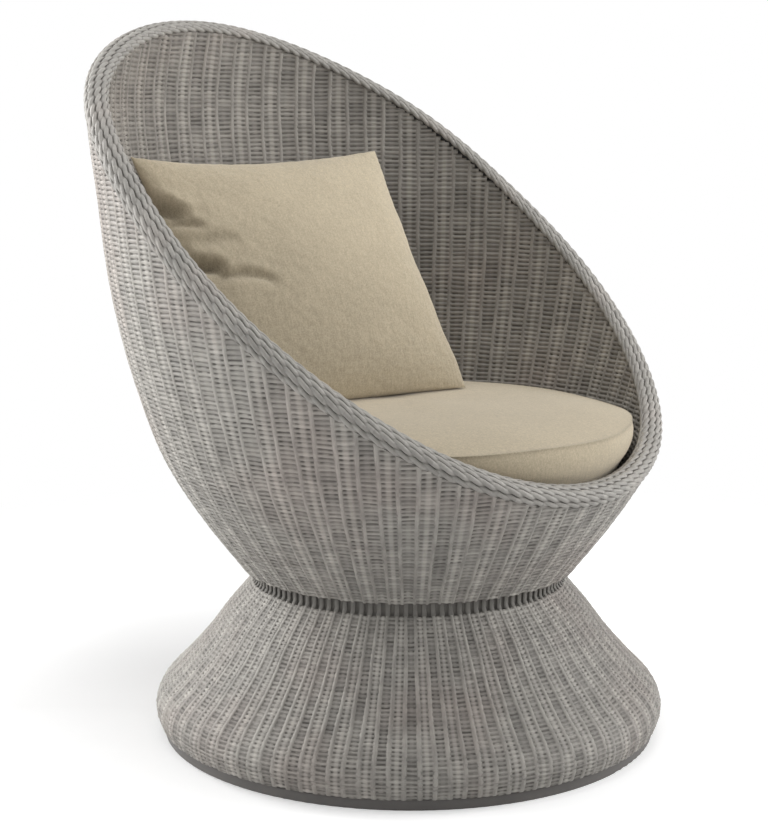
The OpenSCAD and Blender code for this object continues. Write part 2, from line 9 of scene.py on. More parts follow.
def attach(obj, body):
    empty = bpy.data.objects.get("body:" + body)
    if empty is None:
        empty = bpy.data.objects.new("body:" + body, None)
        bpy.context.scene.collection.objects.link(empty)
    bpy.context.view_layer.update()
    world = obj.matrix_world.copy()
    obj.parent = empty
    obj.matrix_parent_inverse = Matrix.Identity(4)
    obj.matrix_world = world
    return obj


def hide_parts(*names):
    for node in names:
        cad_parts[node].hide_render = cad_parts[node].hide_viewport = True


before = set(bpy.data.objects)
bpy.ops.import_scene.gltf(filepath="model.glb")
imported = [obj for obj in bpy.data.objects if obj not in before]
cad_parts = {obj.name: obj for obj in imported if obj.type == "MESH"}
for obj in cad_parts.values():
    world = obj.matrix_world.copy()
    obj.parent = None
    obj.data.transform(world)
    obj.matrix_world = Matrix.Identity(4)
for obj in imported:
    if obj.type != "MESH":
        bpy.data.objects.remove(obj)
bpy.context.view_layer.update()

# Outlines as shares, the same as in the part's source
BOWL_SHARES = [[0, 0.54], [0.09, 0.66], [0.20, 0.78], [0.33, 0.865],
               [0.49, 0.935], [0.67, 0.975], [0.86, 1], [1, 0.955]]
SKIRT_SHARES = [[0, 0.982], [0.10, 1], [0.22, 0.983], [0.39, 0.895],
                [0.585, 0.797], [0.78, 0.714], [0.95, 0.632], [1, 0.61]]
SEAT_SIDE_SHARES = [[0, 0.90], [0.06, 0.925], [0.19, 0.95], [0.33, 0.968],
                    [0.46, 0.988], [0.66, 1.007], [0.85, 1.01], [1, 1]]

# Sizes of the part
BASE_H, NECK_GAP, FOOT_H = 0.222, 0.016, 0.016
SKIRT_R, BOWL_R, BOWL_H = 0.364, 0.440, 0.774
BOWL_BOTTOM = BASE_H + NECK_GAP
BOWL_TOP = BOWL_BOTTOM + BOWL_H
RIM_FRONT_Z = BOWL_BOTTOM + 0.1495
SKIN_T, WALL_T = 0.004, 0.0289
PART_GAP, BORDER_GAP, BORDER_T = 0.0003, 0.0008, 0.003
BORDER_CROWN, BORDER_RISE = 0.012, 0.002
DECK_Z = RIM_FRONT_Z - 0.0175
SEAT_BOTTOM = DECK_Z + 0.005 + PART_GAP
SEAT_CUSHION_H, SEAT_CROWN, SEAT_ROOM = 0.075, 0.022, 0.008
SEAT_TOP = SEAT_BOTTOM + SEAT_CUSHION_H + SEAT_CROWN
BACK_SIZE, BACK_T, BACK_DRAWN_IN, BACK_LOWER_DRAWN_IN = 0.411, 0.128, 0.012, 0.003
BACK_LEAN, BACK_TURN, BACK_ROLL = 34.8, -18.3, -1.4
BACK_CORNER_TURN, BACK_CORNER_ROOM, BACK_REST_ROOM = 119.6, 0.010, 0.0025


class Form:
    """A round outline: its radius, its lean and its length along the wall."""

    def __init__(self, shares, r, low, height):
        self.table, self.r, self.low, self.height = np.array(shares), r, low, height
        z = low + height * np.linspace(0, 1, 3000)
        rise = np.hypot(np.diff(z), np.diff(self.radius(z)))
        self.levels, self.along = z, np.concatenate([[0], np.cumsum(rise)])

    def radius(self, z):
        x, y = self.table[:, 0], self.table[:, 1]
        t = (np.asarray(z, float) - self.low) / self.height
        width = np.diff(x)
        rise = np.diff(y) / width
        slope = np.concatenate([rise[:1], np.zeros(len(x) - 2), rise[-1:]])
        slope[1:-1] = (rise[:-1] * width[1:] + rise[1:] * width[:-1]) / (width[1:] + width[:-1])
        i = np.clip(np.searchsorted(x, t, side="right") - 1, 0, len(x) - 2)
        w, s = width[i], (t - x[i]) / width[i]
        return self.r * (y[i] * (1 + 2 * s) * (1 - s) ** 2 + slope[i] * w * s * (1 - s) ** 2
                         + y[i + 1] * s * s * (3 - 2 * s) + slope[i + 1] * w * s * s * (s - 1))

    def lean(self, z):
        e = 0.002 * self.height
        return np.arctan((self.radius(z + e) - self.radius(z - e)) / (2 * e))

    def wall_at(self, z, depth):
        s = self.lean(z)
        return self.radius(z) - depth * np.cos(s), z + depth * np.sin(s)

    def outer_z(self, height, depth):
        z = np.asarray(height, float)
        for _ in range(12):
            z = height - depth * np.sin(self.lean(z))
        return z

    def inside_r(self, height, depth):
        return self.wall_at(self.outer_z(height, depth), depth)[0]

    def z_along(self, s):
        return np.interp(s, self.along, self.levels)

    def s_at(self, z):
        return np.interp(z, self.levels, self.along)


BOWL = Form(BOWL_SHARES, BOWL_R, BOWL_BOTTOM, BOWL_H)
SKIRT = Form(SKIRT_SHARES, SKIRT_R, FOOT_H, BASE_H - FOOT_H)

# The rim
RIM_FRONT_R = float(BOWL.radius(RIM_FRONT_Z))
RIM_SLOPE = (BOWL_TOP - RIM_FRONT_Z) / (RIM_FRONT_R + float(BOWL.radius(BOWL_TOP)))
RIM_MID = RIM_FRONT_Z + RIM_SLOPE * RIM_FRONT_R
RIM_MID_OUT = -WALL_T / 2
BORDER_REACH = WALL_T / 2 + BORDER_GAP + BORDER_T
BORDER_LEVEL = BORDER_RISE - BORDER_CROWN
SKIN_END_LEVEL = BORDER_LEVEL - 0.0015
BORDER_RETURN = SKIN_END_LEVEL - BORDER_T


def rim_point(a):
    z = np.full(np.shape(a), RIM_MID)
    for _ in range(24):
        z = RIM_MID + RIM_SLOPE * BOWL.radius(z) * np.sin(a)
    r = BOWL.radius(z)
    return np.stack([r * np.cos(a), r * np.sin(a), z], -1)


def rim_frames(a):
    """Points of the rim with the wall's outward direction, up along the wall, and along."""
    p = rim_point(a)
    s = BOWL.lean(p[..., 2])
    out = np.stack([np.cos(s) * np.cos(a), np.cos(s) * np.sin(a), -np.sin(s)], -1)
    turn = math.radians(1)
    along = rim_point(a + turn) - rim_point(a - turn)
    along /= np.linalg.norm(along, axis=-1, keepdims=True)
    return p, out, np.cross(out, along), along


def rim_place(frames, out, up):
    p = frames[0] + np.asarray(up)[..., None] * frames[2]
    r = np.hypot(p[..., 0], p[..., 1])
    sag = (BOWL.radius(p[..., 2]) - r) * np.cos(BOWL.lean(p[..., 2]))
    return p + (out + sag)[..., None] * frames[1]


# Mesh helpers
def make_mesh(name, points, faces, smooth=True):
    """A mesh object from arrays: points by 3, and faces by 3 or 4 corners."""
    mesh = bpy.data.meshes.new(name)
    points, faces = np.asarray(points, np.float32), np.asarray(faces, np.int32)
    corners = faces.shape[1]
    mesh.vertices.add(len(points))
    mesh.vertices.foreach_set("co", points.ravel())
    mesh.loops.add(faces.size)
    mesh.loops.foreach_set("vertex_index", faces.ravel())
    mesh.polygons.add(len(faces))
    mesh.polygons.foreach_set("loop_start", np.arange(0, faces.size, corners, dtype=np.int32))
    mesh.polygons.foreach_set("use_smooth", np.full(len(faces), smooth))
    mesh.update(calc_edges=True)
    mesh.validate()
    piece = bpy.data.objects.new(name, mesh)
    bpy.context.scene.collection.objects.link(piece)
    return piece


def add_value(piece, name, values):
    """A number for each point, for the materials to read."""
    layer = piece.data.attributes.new(name, "FLOAT", "POINT")
    layer.data.foreach_set("value", np.asarray(values, np.float32).ravel())


def grid_faces(rows, columns, closed=False, flip=False):
    """Squares of a grid of points, rows by columns. A closed one joins its last column to its first."""
    i, j = np.meshgrid(np.arange(rows - 1), np.arange(columns - (0 if closed else 1)), indexing="ij")
    i, j = i.ravel(), j.ravel()
    k = (j + 1) % columns
    corners = [i * columns + j, i * columns + k, (i + 1) * columns + k, (i + 1) * columns + j]
    return np.stack(corners[::-1] if flip else corners, -1)


def loop_faces(rows, columns, tube=True):
    """Squares of rows of points that close into a loop, as a tube or as a flat band."""
    start, j = np.arange(rows)[:, None] * columns, np.arange(columns if tube else columns - 1)
    a, b, count = start + j, start + (j + 1) % columns, rows * columns
    return np.stack([a, (a + columns) % count, (b + columns) % count, b], -1).reshape(-1, 4)


def merged(parts):
    """Several (points, faces, {name: values}) as one."""
    points, faces, values, count = [], [], {}, 0
    for p, f, v in parts:
        points.append(p.reshape(-1, 3))
        faces.append(f + count)
        for key, numbers in v.items():
            values.setdefault(key, []).append(np.ravel(numbers))
        count += len(points[-1])
    return (np.concatenate(points), np.concatenate(faces),
            {key: np.concatenate(numbers) for key, numbers in values.items()})


def piece_of(name, parts):
    points, faces, values = merged(parts)
    used, inverse = np.unique(faces, return_inverse=True)
    piece = make_mesh(name, points[used], inverse.reshape(faces.shape))
    for key, numbers in values.items():
        add_value(piece, key, numbers[used])
    return piece


# Weave
STAKE_W = 0.0078
ROW_DEPTH = 0.0012
GROOVE = 0.0022
BULGE = 0.0012
ROW_PLACES = np.array([0, 0.22, 0.78])
SPAN_PLACES = np.array([0, 0.25, 0.5, 0.75])
STAKE_ACROSS = np.array([-1, -0.7, -0.35, 0, 0.35, 0.7, 1])
STAKE_DEPTHS = np.array([0.0010, 0.00045, 0.0001, 0, 0.0001, 0.00045, 0.0010])
ROW_WANDER, STAKE_WANDER = 0.0011, 0.055
ROW_WEAVE, STAKE_RIPPLE = 0.00025, 0.00016
# The materials tell stakes from rows by this value, highest in a stake's middle
STAKE_SWING = 1.8


def wander(turn, v):
    """A slow drift between -1 and 1 that closes round a full turn."""
    return (np.sin(13 * turn + 0.33 * v + 1.3) + np.sin(-22 * turn + 0.19 * v)
            + np.sin(37 * turn + 0.47 * v + 4)) / 3


def cut_by_rim(points, out, level):
    """How far points lie above the slanted cut, seen at one distance out and one level up."""
    ends = rim_place(rim_frames(np.radians([90, 270])), np.array([out, out]), np.array([level, level]))
    slant = math.atan2(ends[0, 2] - ends[1, 2], ends[0, 1] - ends[1, 1])
    return (points - ends[1]) @ np.array([0, -math.sin(slant), math.cos(slant)])


def kept_below(points, faces, out, level):
    return faces[(cut_by_rim(points.reshape(-1, 3), out, level)[faces] <= 0).all(1)]


def woven(form, low, high, pitch, stakes, depth, side, cut=None):
    """Parts of a woven skin: rows of strands between upright stakes that stand proud of
    them. Behind every second span is a stake over which its rows bulge.
    side is 1 where the outer face shows and -1 where the inner one does."""
    start, end = form.s_at(low), form.s_at(high)
    rows = max(2, round((end - start) / pitch))
    step = (end - start) / rows
    v = np.concatenate([(np.arange(rows)[:, None] + ROW_PLACES).ravel(), [rows]])
    u = np.concatenate([(np.arange(stakes)[:, None] + SPAN_PLACES).ravel(), [stakes]])
    row = np.minimum(np.floor(v + 1e-6), rows - 1)
    inside = v - row
    groove = np.where((inside < 1e-3) | (inside > 1 - 1e-3), 1.0, 0.0)[:, None]
    span = np.floor(u + 1e-6)
    swell = np.sin(np.pi * (u - span))[None, :]
    weaving = np.where((row[:, None] + span[None, :]) % 2 == 0, 1, -1)
    drift = ROW_WANDER * wander(u[None, :] / stakes * 2 * np.pi, v[:, None])
    inward = (ROW_DEPTH * (0.45 + 0.55 * swell) - BULGE * swell ** 4 * (span % 2)[None, :]
              + ROW_WEAVE * weaving * swell + groove * GROOVE)
    parts = [wall_grid(form, start + v[:, None] * step + drift, u[None, :], stakes, depth,
                       inward, side, cut, v, np.zeros(inward.shape))]
    half = STAKE_W / 2 / (2 * np.pi * form.r / stakes)
    v2 = np.linspace(0, rows, rows // 2 + 1)
    for k in range(stakes):
        aside = STAKE_WANDER * np.sin(0.21 * v2 + 2.4 * k) * np.sin(0.13 * v2 + k)
        u2 = k + aside[:, None] + half * STAKE_ACROSS[None, :]
        ripple = STAKE_RIPPLE * np.sin(2.1 * v2 + 1.7 * k)[:, None]
        parts.append(wall_grid(form, start + v2[:, None] * step, u2, stakes, depth,
                               STAKE_DEPTHS[None, :] + ripple + STAKE_RIPPLE, side, cut, v2,
                               np.ones((len(v2), 1)) * (STAKE_SWING - abs(STAKE_ACROSS))))
    return parts


def wall_grid(form, s, u, stakes, depth, inward, side, cut, v, swing):
    """A sheet along the wall: s is the distance up it, u the place round it in stakes."""
    z = form.z_along(s)
    angle = u / stakes * 2 * np.pi
    into = inward if side > 0 else SKIN_T - inward
    r, level = form.wall_at(z, depth + into)
    points = np.stack([r * np.cos(angle), r * np.sin(angle), level + 0 * angle], -1)
    rows, columns = points.shape[:2]
    faces = grid_faces(rows, columns, flip=side < 0)
    if cut:
        faces = kept_below(points, faces, *cut)
    ones = np.ones((rows, columns))
    return points, faces, {"row": v[:, None] * ones, "stake": u * ones, "swing": swing}


BOWL_PITCH, INNER_PITCH, SKIRT_PITCH = 0.0065, 0.0070, 0.0060
BOWL_STAKES, SKIRT_STAKES = 90, 116


def outer_weave():
    return piece_of("outer_weave_strands",
                    woven(BOWL, BOWL_BOTTOM, BOWL_TOP, BOWL_PITCH, BOWL_STAKES, 0, 1,
                          (0, SKIN_END_LEVEL)))


def inner_weave():
    depth = WALL_T - SKIN_T
    low = BOWL.outer_z(DECK_Z - PART_GAP, depth)
    return piece_of("inner_weave_strands",
                    woven(BOWL, low, BOWL_TOP, INNER_PITCH, BOWL_STAKES, depth, -1,
                          (-WALL_T, SKIN_END_LEVEL)))


NECK_OPEN, NECK_CLEAR, NECK_LINING_IN, NECK_LINING_LAP = 0.003, 0.0015, 0.0045, 0.002
NECK_STAKE_W, NECK_STAKE_HALF_T, NECK_STAKE_LAP = 0.0074, 0.0016, 0.004
# Depths of a stake's end below the skirt's face: at the weave's end, its top and the bowl
NECK_STAKE_IN = (0.002, 0.0025, 0.0015)


def skirt_weave():
    """The base's weave, its outer and its inner face."""
    low, high = FOOT_H + PART_GAP, BASE_H - NECK_OPEN
    parts = woven(SKIRT, low, high, SKIRT_PITCH, SKIRT_STAKES, 0, 1)
    parts += woven(SKIRT, low, high, SKIRT_PITCH, SKIRT_STAKES, 0, -1)
    return piece_of("skirt_strands", parts)


def neck_stakes():
    """Ends of the base's stakes, which show in the open neck just under the bowl."""
    high = BASE_H - NECK_OPEN
    levels = np.linspace(high - NECK_STAKE_LAP, BOWL_BOTTOM - NECK_CLEAR, 7)
    faces = [float(SKIRT.radius(z)) for z in (high, BASE_H, BASE_H)]
    r = np.interp(levels, [high, BASE_H, BOWL_BOTTOM],
                  [face - inset for face, inset in zip(faces, NECK_STAKE_IN)])
    turn = np.arange(8) / 8 * 2 * np.pi
    parts = []
    for k in range(SKIRT_STAKES):
        a = 2 * np.pi * k / SKIRT_STAKES
        out = r[:, None] + NECK_STAKE_HALF_T * np.cos(turn)[None, :]
        aside = NECK_STAKE_W / 2 * np.sin(turn)[None, :] + 0 * out
        points = np.stack([out * math.cos(a) - aside * math.sin(a),
                           out * math.sin(a) + aside * math.cos(a),
                           levels[:, None] + 0 * out], -1)
        parts.append((points, grid_faces(len(levels), 8, closed=True), {}))
    return piece_of("neck_stakes", parts)


def neck_lining():
    """A dark band behind the stakes of the open neck, painted shade for the shadow under the bowl."""
    angles = np.arange(180) / 180 * 2 * np.pi
    levels = np.linspace(BASE_H - NECK_OPEN - NECK_LINING_LAP, BOWL_BOTTOM - NECK_CLEAR, 5)
    r = float(SKIRT.radius(BASE_H)) - NECK_LINING_IN
    points = np.stack([r * np.cos(angles)[None, :] + 0 * levels[:, None],
                       r * np.sin(angles)[None, :] + 0 * levels[:, None],
                       levels[:, None] + 0 * angles[None, :]], -1)
    return piece_of("neck_lining", [(points, grid_faces(len(levels), len(angles), closed=True), {})])


# Braided border
BORDER_ROWS, TWIST_LENGTH = 6, 0.040
BORDER_LOW, BORDER_SINK = -0.0225, 0.0012
STRAND_W, STRAND_H, STRAND_OFF, STRAND_SWAY = 0.0033, 0.0018, 0.0011, 0.0018
STRAND_SHIFT = 0.17
BORDER_STEP, CORE_INSET = 0.0024, 0.0026


def border_line():
    """The border's section, from its lower edge over the top to the inner lip."""
    turn = np.linspace(0, np.pi, 60)
    arc = np.stack([RIM_MID_OUT + BORDER_REACH * np.cos(turn),
                    BORDER_LEVEL + BORDER_CROWN * np.sin(turn)], -1)
    inner = np.stack([np.full(6, RIM_MID_OUT - BORDER_REACH),
                      np.linspace(BORDER_LEVEL, BORDER_RETURN, 7)[1:]], -1)
    leg = np.stack([np.full(12, RIM_MID_OUT + BORDER_REACH),
                    np.linspace(BORDER_LOW, BORDER_LEVEL, 13)[:-1]], -1)
    return np.concatenate([leg, arc, inner])


def along_line(line, share):
    """Point, outward normal and direction of a section line at shares of its length."""
    length = np.concatenate([[0], np.cumsum(np.hypot(*np.diff(line, axis=0).T))])
    at = np.asarray(share) * length[-1]
    p = np.stack([np.interp(at, length, line[:, k]) for k in (0, 1)], -1)
    e = length[-1] / 200
    d = np.stack([np.interp(at + e, length, line[:, k]) - np.interp(at - e, length, line[:, k])
                  for k in (0, 1)], -1)
    d /= np.linalg.norm(d, axis=-1, keepdims=True)
    return p, np.stack([d[..., 1], -d[..., 0]], -1), d


def rim_angles(step):
    """Angles of places evenly spaced along the rim, and their distances along it."""
    fine = np.linspace(0, 2 * np.pi, 4001)
    gaps = np.linalg.norm(np.diff(rim_point(fine), axis=0), axis=1)
    length = np.concatenate([[0], np.cumsum(gaps)])
    at = np.linspace(0, length[-1], round(length[-1] / step) + 1)[:-1]
    return np.interp(at, length, fine), at, length[-1]


def rim_border():
    """Rows of two strands each that twist round one another along the rim."""
    line = border_line()
    angles, at, length = rim_angles(BORDER_STEP)
    frames = rim_frames(angles)
    turns = round(length / TWIST_LENGTH)
    parts = []
    share = (np.arange(BORDER_ROWS) + 0.5) / BORDER_ROWS
    places, normals, ways = along_line(line, share)
    inset = STRAND_H + STRAND_OFF + BORDER_SINK
    sides = 7
    around = np.arange(sides) / sides * 2 * np.pi
    for i in range(BORDER_ROWS):
        for half in (0, 1):
            phase = 2 * np.pi * (turns * at / length + half / 2 + i * STRAND_SHIFT)
            out = STRAND_OFF * np.cos(phase)
            across = -STRAND_SWAY * np.sin(phase)
            ring_out = (-inset + out)[:, None] + STRAND_H * np.cos(around)[None, :]
            ring_across = across[:, None] + STRAND_W * np.sin(around)[None, :]
            o = places[i, 0] + ring_out * normals[i, 0] + ring_across * ways[i, 0]
            h = places[i, 1] + ring_out * normals[i, 1] + ring_across * ways[i, 1]
            wide = tuple(f[:, None, :] for f in frames)
            points = rim_place(wide, o, h)
            parts.append((points, loop_faces(len(at), sides), {
                "row": np.full(points.shape[:2], 2.0 * i + half),
                "along": np.repeat(at[:, None] / length, sides, 1),
                "swing": out[:, None] / STRAND_OFF + 0 * ring_out}))
    return piece_of("rim_border_strands", parts)


def border_core():
    """A dark band under the border's strands, painted shade that shows in the gaps between them."""
    line = border_line()
    angles = np.arange(168) / 168 * 2 * np.pi
    frames = tuple(f[:, None, :] for f in rim_frames(angles))
    places, normals, _ = along_line(line, np.linspace(0.01, 0.99, 22))
    inner = places - (CORE_INSET + BORDER_SINK) * normals
    points = rim_place(frames, inner[None, :, 0] + 0 * angles[:, None],
                       inner[None, :, 1] + 0 * angles[:, None])
    return piece_of("border_core", [(points, loop_faces(*points.shape[:2], tube=False), {})])


# Cushions
# Only a share of the simulated movement is used, fading to none at the seam
SIM_FRAMES, SIM_PRESSURE, SIM_START_NOISE = 20, 4.0, 0.0004
SIM_EDGE, SIM_SHARE = 0.6, 0.25
TOP_SAG, EDGE_WAVE = 0.009, 0.0012
CONTACT_H, CONTACT_PRESS = 0.042, 0.99
CORNER_PULL = 0.005
MOST_MOVED = 0.024
BACK_WALL_ROOM, BACK_SEAT_ROOM = 0.003, 0.0006
SEAM_W, SEAM_PROUD, SEAM_LINE_W, SEAM_LINE_DROP = 0.0022, 0.0018, 0.0016, 0.001
SEAT_SLACK, SEAT_WAVE = 0.0012, 0.0012
# The seat's level of painted light and shade on the cloth, from 0 at its darkest to 1, and the crease
# depth that gets the full painted crease shade
SEAT_PAINTED_LIGHT, CREASE_FULL_DEPTH = 0.66, 0.016


def inflate(piece, pressure, frames, most, share, bending=1.5, tension=12):
    """Cloth simulation of a cushion's cover. Each point moves by a share of what the
    simulation gives it, and no farther than a cap."""
    mesh = piece.data
    before = np.zeros(len(mesh.vertices) * 3)
    mesh.vertices.foreach_get("co", before)
    cloth = piece.modifiers.new("inflate", "CLOTH")
    setting = cloth.settings
    setting.quality = 6
    setting.mass = 0.25
    setting.tension_stiffness = tension
    setting.compression_stiffness = tension
    setting.shear_stiffness = tension / 2
    setting.bending_stiffness = bending
    setting.use_pressure = True
    setting.uniform_pressure_force = pressure
    setting.effector_weights.gravity = 0
    cloth.collision_settings.use_collision = False
    scene = bpy.context.scene
    for number in range(1, frames + 1):
        scene.frame_set(number)
    shown = piece.evaluated_get(bpy.context.evaluated_depsgraph_get())
    after = np.zeros(len(mesh.vertices) * 3)
    shown.data.vertices.foreach_get("co", after)
    piece.modifiers.remove(cloth)
    scene.frame_set(1)
    before, after = before.reshape(-1, 3), after.reshape(-1, 3)
    move = after - before
    far = np.linalg.norm(move, axis=1, keepdims=True)
    after = before + move * np.minimum(1, most / np.maximum(far, 1e-9)) * share[:, None]
    mesh.vertices.foreach_set("co", after.astype(np.float32).ravel())
    mesh.update()


def points_of(piece):
    co = np.zeros(len(piece.data.vertices) * 3)
    piece.data.vertices.foreach_get("co", co)
    return co.reshape(-1, 3)


def set_points(piece, co):
    piece.data.vertices.foreach_set("co", np.asarray(co, np.float32).ravel())
    piece.data.update()


def apply_modifiers(piece):
    shown = piece.evaluated_get(bpy.context.evaluated_depsgraph_get())
    mesh = bpy.data.meshes.new_from_object(shown)
    piece.modifiers.clear()
    piece.data = mesh


def subdivide(piece, levels=1):
    m = piece.modifiers.new("smooth", "SUBSURF")
    m.levels = m.render_levels = levels
    apply_modifiers(piece)


def roll_r(z):
    """Radius at which the border's round front leaves room for the seat cushion."""
    front = rim_place(rim_frames(np.radians(270)), RIM_MID_OUT, np.array(BORDER_LEVEL))
    h = np.asarray(z) - front[2]
    inside = np.sqrt(np.maximum(BORDER_REACH ** 2 - h * h, 0))
    return np.where(abs(h) < BORDER_REACH, math.hypot(front[0], front[1]) - inside, BOWL_R)


def seat_seam_r():
    shares = np.array(SEAT_SIDE_SHARES)
    z = SEAT_BOTTOM + shares[:, 0] * SEAT_CUSHION_H
    room = np.minimum(roll_r(z), BOWL.inside_r(z, WALL_T)) - SEAT_ROOM
    return float((room / shares[:, 1]).min())


SEAT_SEAM_R = seat_seam_r()
SEAT_SEAM_Z = SEAT_BOTTOM + SEAT_CUSHION_H


def seat_top_z(r):
    return SEAT_TOP - SEAT_CROWN * np.clip(np.asarray(r) / SEAT_SEAM_R, 0, 1) ** 5


def seat_side(t):
    """Radius of the cushion's side at a share of its height."""
    shares = np.array(SEAT_SIDE_SHARES)
    side = Form(shares, SEAT_SEAM_R, 0, 1)
    return side.radius(t)


def seat_cushion():
    """A round cushion: a crowned top, a seam round its edge, and a boxed side."""
    count = 240
    rings = []
    for s in np.sin(np.linspace(0, 1, 46) * np.pi / 2):
        rings.append((s * SEAT_SEAM_R, float(seat_top_z(s * SEAT_SEAM_R)), 0.0))
    for t in np.linspace(1, 0, 18)[1:]:
        rings.append((float(seat_side(t)), SEAT_BOTTOM + t * SEAT_CUSHION_H, 1.0 - t))
    for s in np.linspace(0.96, 0, 20):
        rings.append((s * float(seat_side(0)), SEAT_BOTTOM, 2.0))
    rings = np.array(rings)
    a = np.arange(count) / count * 2 * np.pi
    points = np.stack([rings[:, :1] * np.cos(a), rings[:, :1] * np.sin(a),
                       rings[:, 1:2] + 0 * a], -1)
    faces = grid_faces(len(rings), count, closed=True, flip=True)
    across = {"warp": points[..., 0] + 0.4 * points[..., 2],
              "weft": points[..., 1] + 0.8 * points[..., 2],
              # The seat's one level of painted light and shade, the same all over
              "painted_light": SEAT_PAINTED_LIGHT + 0 * points[..., 0],
              "seam": np.exp(-((rings[:, 1:2] - SEAT_SEAM_Z + SEAM_LINE_DROP) / SEAM_LINE_W) ** 2)
              * (rings[:, :1] > 0.9 * SEAT_SEAM_R) + 0 * a}
    piece = piece_of("seat_cushion_fabric", [(points, faces, across)])
    co = points_of(piece)
    shaped = co.copy()
    r, angle = np.hypot(co[:, 0], co[:, 1]), np.arctan2(co[:, 1], co[:, 0])
    # Slack in the top and soft waves along the side
    soft = (np.sin(3 * angle + 0.6) * np.sin(r / 0.07) * SEAT_SLACK
            + np.sin(7 * angle + 2.1) * (r / SEAT_SEAM_R) ** 6 * SEAT_WAVE)
    shaped[:, 2] += soft * (co[:, 2] > SEAT_BOTTOM + 0.02)
    # The seam round the upper edge stands out as a fine cord
    near = np.exp(-((co[:, 2] - SEAT_SEAM_Z) / SEAM_W) ** 2) * (r > 0.9 * SEAT_SEAM_R)
    shaped[:, :2] *= (1 + near * SEAM_PROUD / np.maximum(r, 1e-6))[:, None]
    set_points(piece, shaped)
    subdivide(piece)
    return piece


BACK_DROP = math.cos(math.radians(BACK_LEAN)) * BACK_SIZE * (
    math.cos(math.radians(BACK_ROLL)) + math.sin(math.radians(BACK_ROLL)) / 2)
BACK_CORNER_Z = SEAT_TOP + BACK_REST_ROOM + BACK_DROP
BACK_CORNER_R = float(BOWL.inside_r(BACK_CORNER_Z, WALL_T)) - BACK_CORNER_ROOM


def back_place():
    """Matrix from the back cushion's own axes to the chair's."""
    a = math.radians(BACK_CORNER_TURN)
    corner = Vector((BACK_CORNER_R * math.cos(a), BACK_CORNER_R * math.sin(a), BACK_CORNER_Z))
    turn = (Matrix.Rotation(math.radians(BACK_TURN), 4, "Z")
            @ Matrix.Rotation(math.radians(-BACK_LEAN), 4, "X")
            @ Matrix.Rotation(math.radians(BACK_ROLL), 4, "Y"))
    return (Matrix.Translation(corner) @ turn
            @ Matrix.Translation((BACK_SIZE / 2, 0, -BACK_SIZE / 2)))


def pillow_point(u, v, side, thick):
    """Point of the pillow's front (side -1) or back (1), with its edges drawn in."""
    in_u = np.where(v < 0, BACK_LOWER_DRAWN_IN,
                    BACK_DRAWN_IN + TOP_SAG * np.clip(v, 0, 1) ** 2 * (1 - 0.35 * u)) * (1 - u * u)
    in_v = (BACK_DRAWN_IN + EDGE_WAVE * np.sin(11 * v + 1.4)) * (1 - v * v)
    half = BACK_SIZE / 2
    dome = np.sqrt(np.maximum((1 - u * u) * (1 - v * v), 0))
    pull = CORNER_PULL * (np.clip(-u, 0, 1) * np.clip(v, 0, 1)) ** 3
    return np.stack([u * (half - in_v) - pull, side * thick / 2 * dome,
                     v * (half - in_u) + pull], -1)


def back_cushion():
    """A square pillow with a knife-edge seam and listed creases."""
    steps = 84
    places = np.sin(np.linspace(-1, 1, steps + 1) * np.pi / 2 * 0.999) / math.sin(np.pi / 2 * 0.999)
    places = 0.5 * places + 0.5 * np.linspace(-1, 1, steps + 1)
    v, u = np.meshgrid(places, places, indexing="ij")
    back = pillow_point(u, v, 1, BACK_T).reshape(-1, 3)
    front = pillow_point(u, v, -1, BACK_T).reshape(-1, 3)
    n = steps + 1
    index = np.arange(n * n).reshape(n, n)
    edge = np.zeros((n, n), bool)
    edge[0], edge[-1], edge[:, 0], edge[:, -1] = True, True, True, True
    inner = np.flatnonzero(~edge.ravel())
    front_index = index.copy().ravel()
    front_index[inner] = n * n + np.arange(len(inner))
    points = np.concatenate([back, front[inner]])
    faces_back = grid_faces(n, n)
    faces_front = front_index[grid_faces(n, n, flip=True)]
    piece = make_mesh("back_cushion_fabric", points, np.concatenate([faces_back, faces_front]))
    sheet = np.concatenate([np.stack([u.ravel(), v.ravel()], -1)] * 2)[
        np.concatenate([np.arange(n * n), n * n + inner])]
    # A little unevenness, so that the wrinkles aren't alike on all sides
    co = points_of(piece)
    r = np.random.default_rng(7)
    co += r.normal(0, SIM_START_NOISE, co.shape)
    set_points(piece, co)
    inside = np.clip((1 - abs(sheet).max(1)) / SIM_EDGE, 0, 1)
    inflate(piece, SIM_PRESSURE, SIM_FRAMES, MOST_MOVED, SIM_SHARE * inside ** 2 * (3 - 2 * inside))
    co = points_of(piece)
    co, sunk = creased(co, sheet[:, 0], sheet[:, 1])
    half = BACK_SIZE / 2
    add_value(piece, "warp", sheet[:, 0] * half)
    add_value(piece, "weft", sheet[:, 1] * half)
    # Painted shade: the cloth darker towards the bottom and the left, and darker in the creases as deep as
    # they sink
    add_value(piece, "painted_light", 0.5 + 0.5 * sheet[:, 1] + 0.2 * sheet[:, 0])
    add_value(piece, "crease", np.clip(sunk / CREASE_FULL_DEPTH, 0, 1))
    place = np.array(back_place())
    co = co @ place[:3, :3].T + place[:3, 3]
    co = kept_in_bowl(co)
    set_points(piece, co)
    subdivide(piece)
    return piece


# Creases of the back cushion's face: [from u, from v, to u, to v, bend, width, depth]
CREASES = [[-1.06, 0.66, -0.86, 0.42, 0.00, 0.050, 0.017],
           [-1.02, 0.44, -0.76, 0.33, 0.04, 0.030, 0.008],
           [-1.00, 0.08, -0.74, -0.03, 0.05, 0.046, 0.017],
           [-0.92, -0.10, -0.38, -0.20, 0.14, 0.030, 0.009],
           [-0.90, 0.22, -0.56, 0.20, 0.05, 0.050, 0.005]]


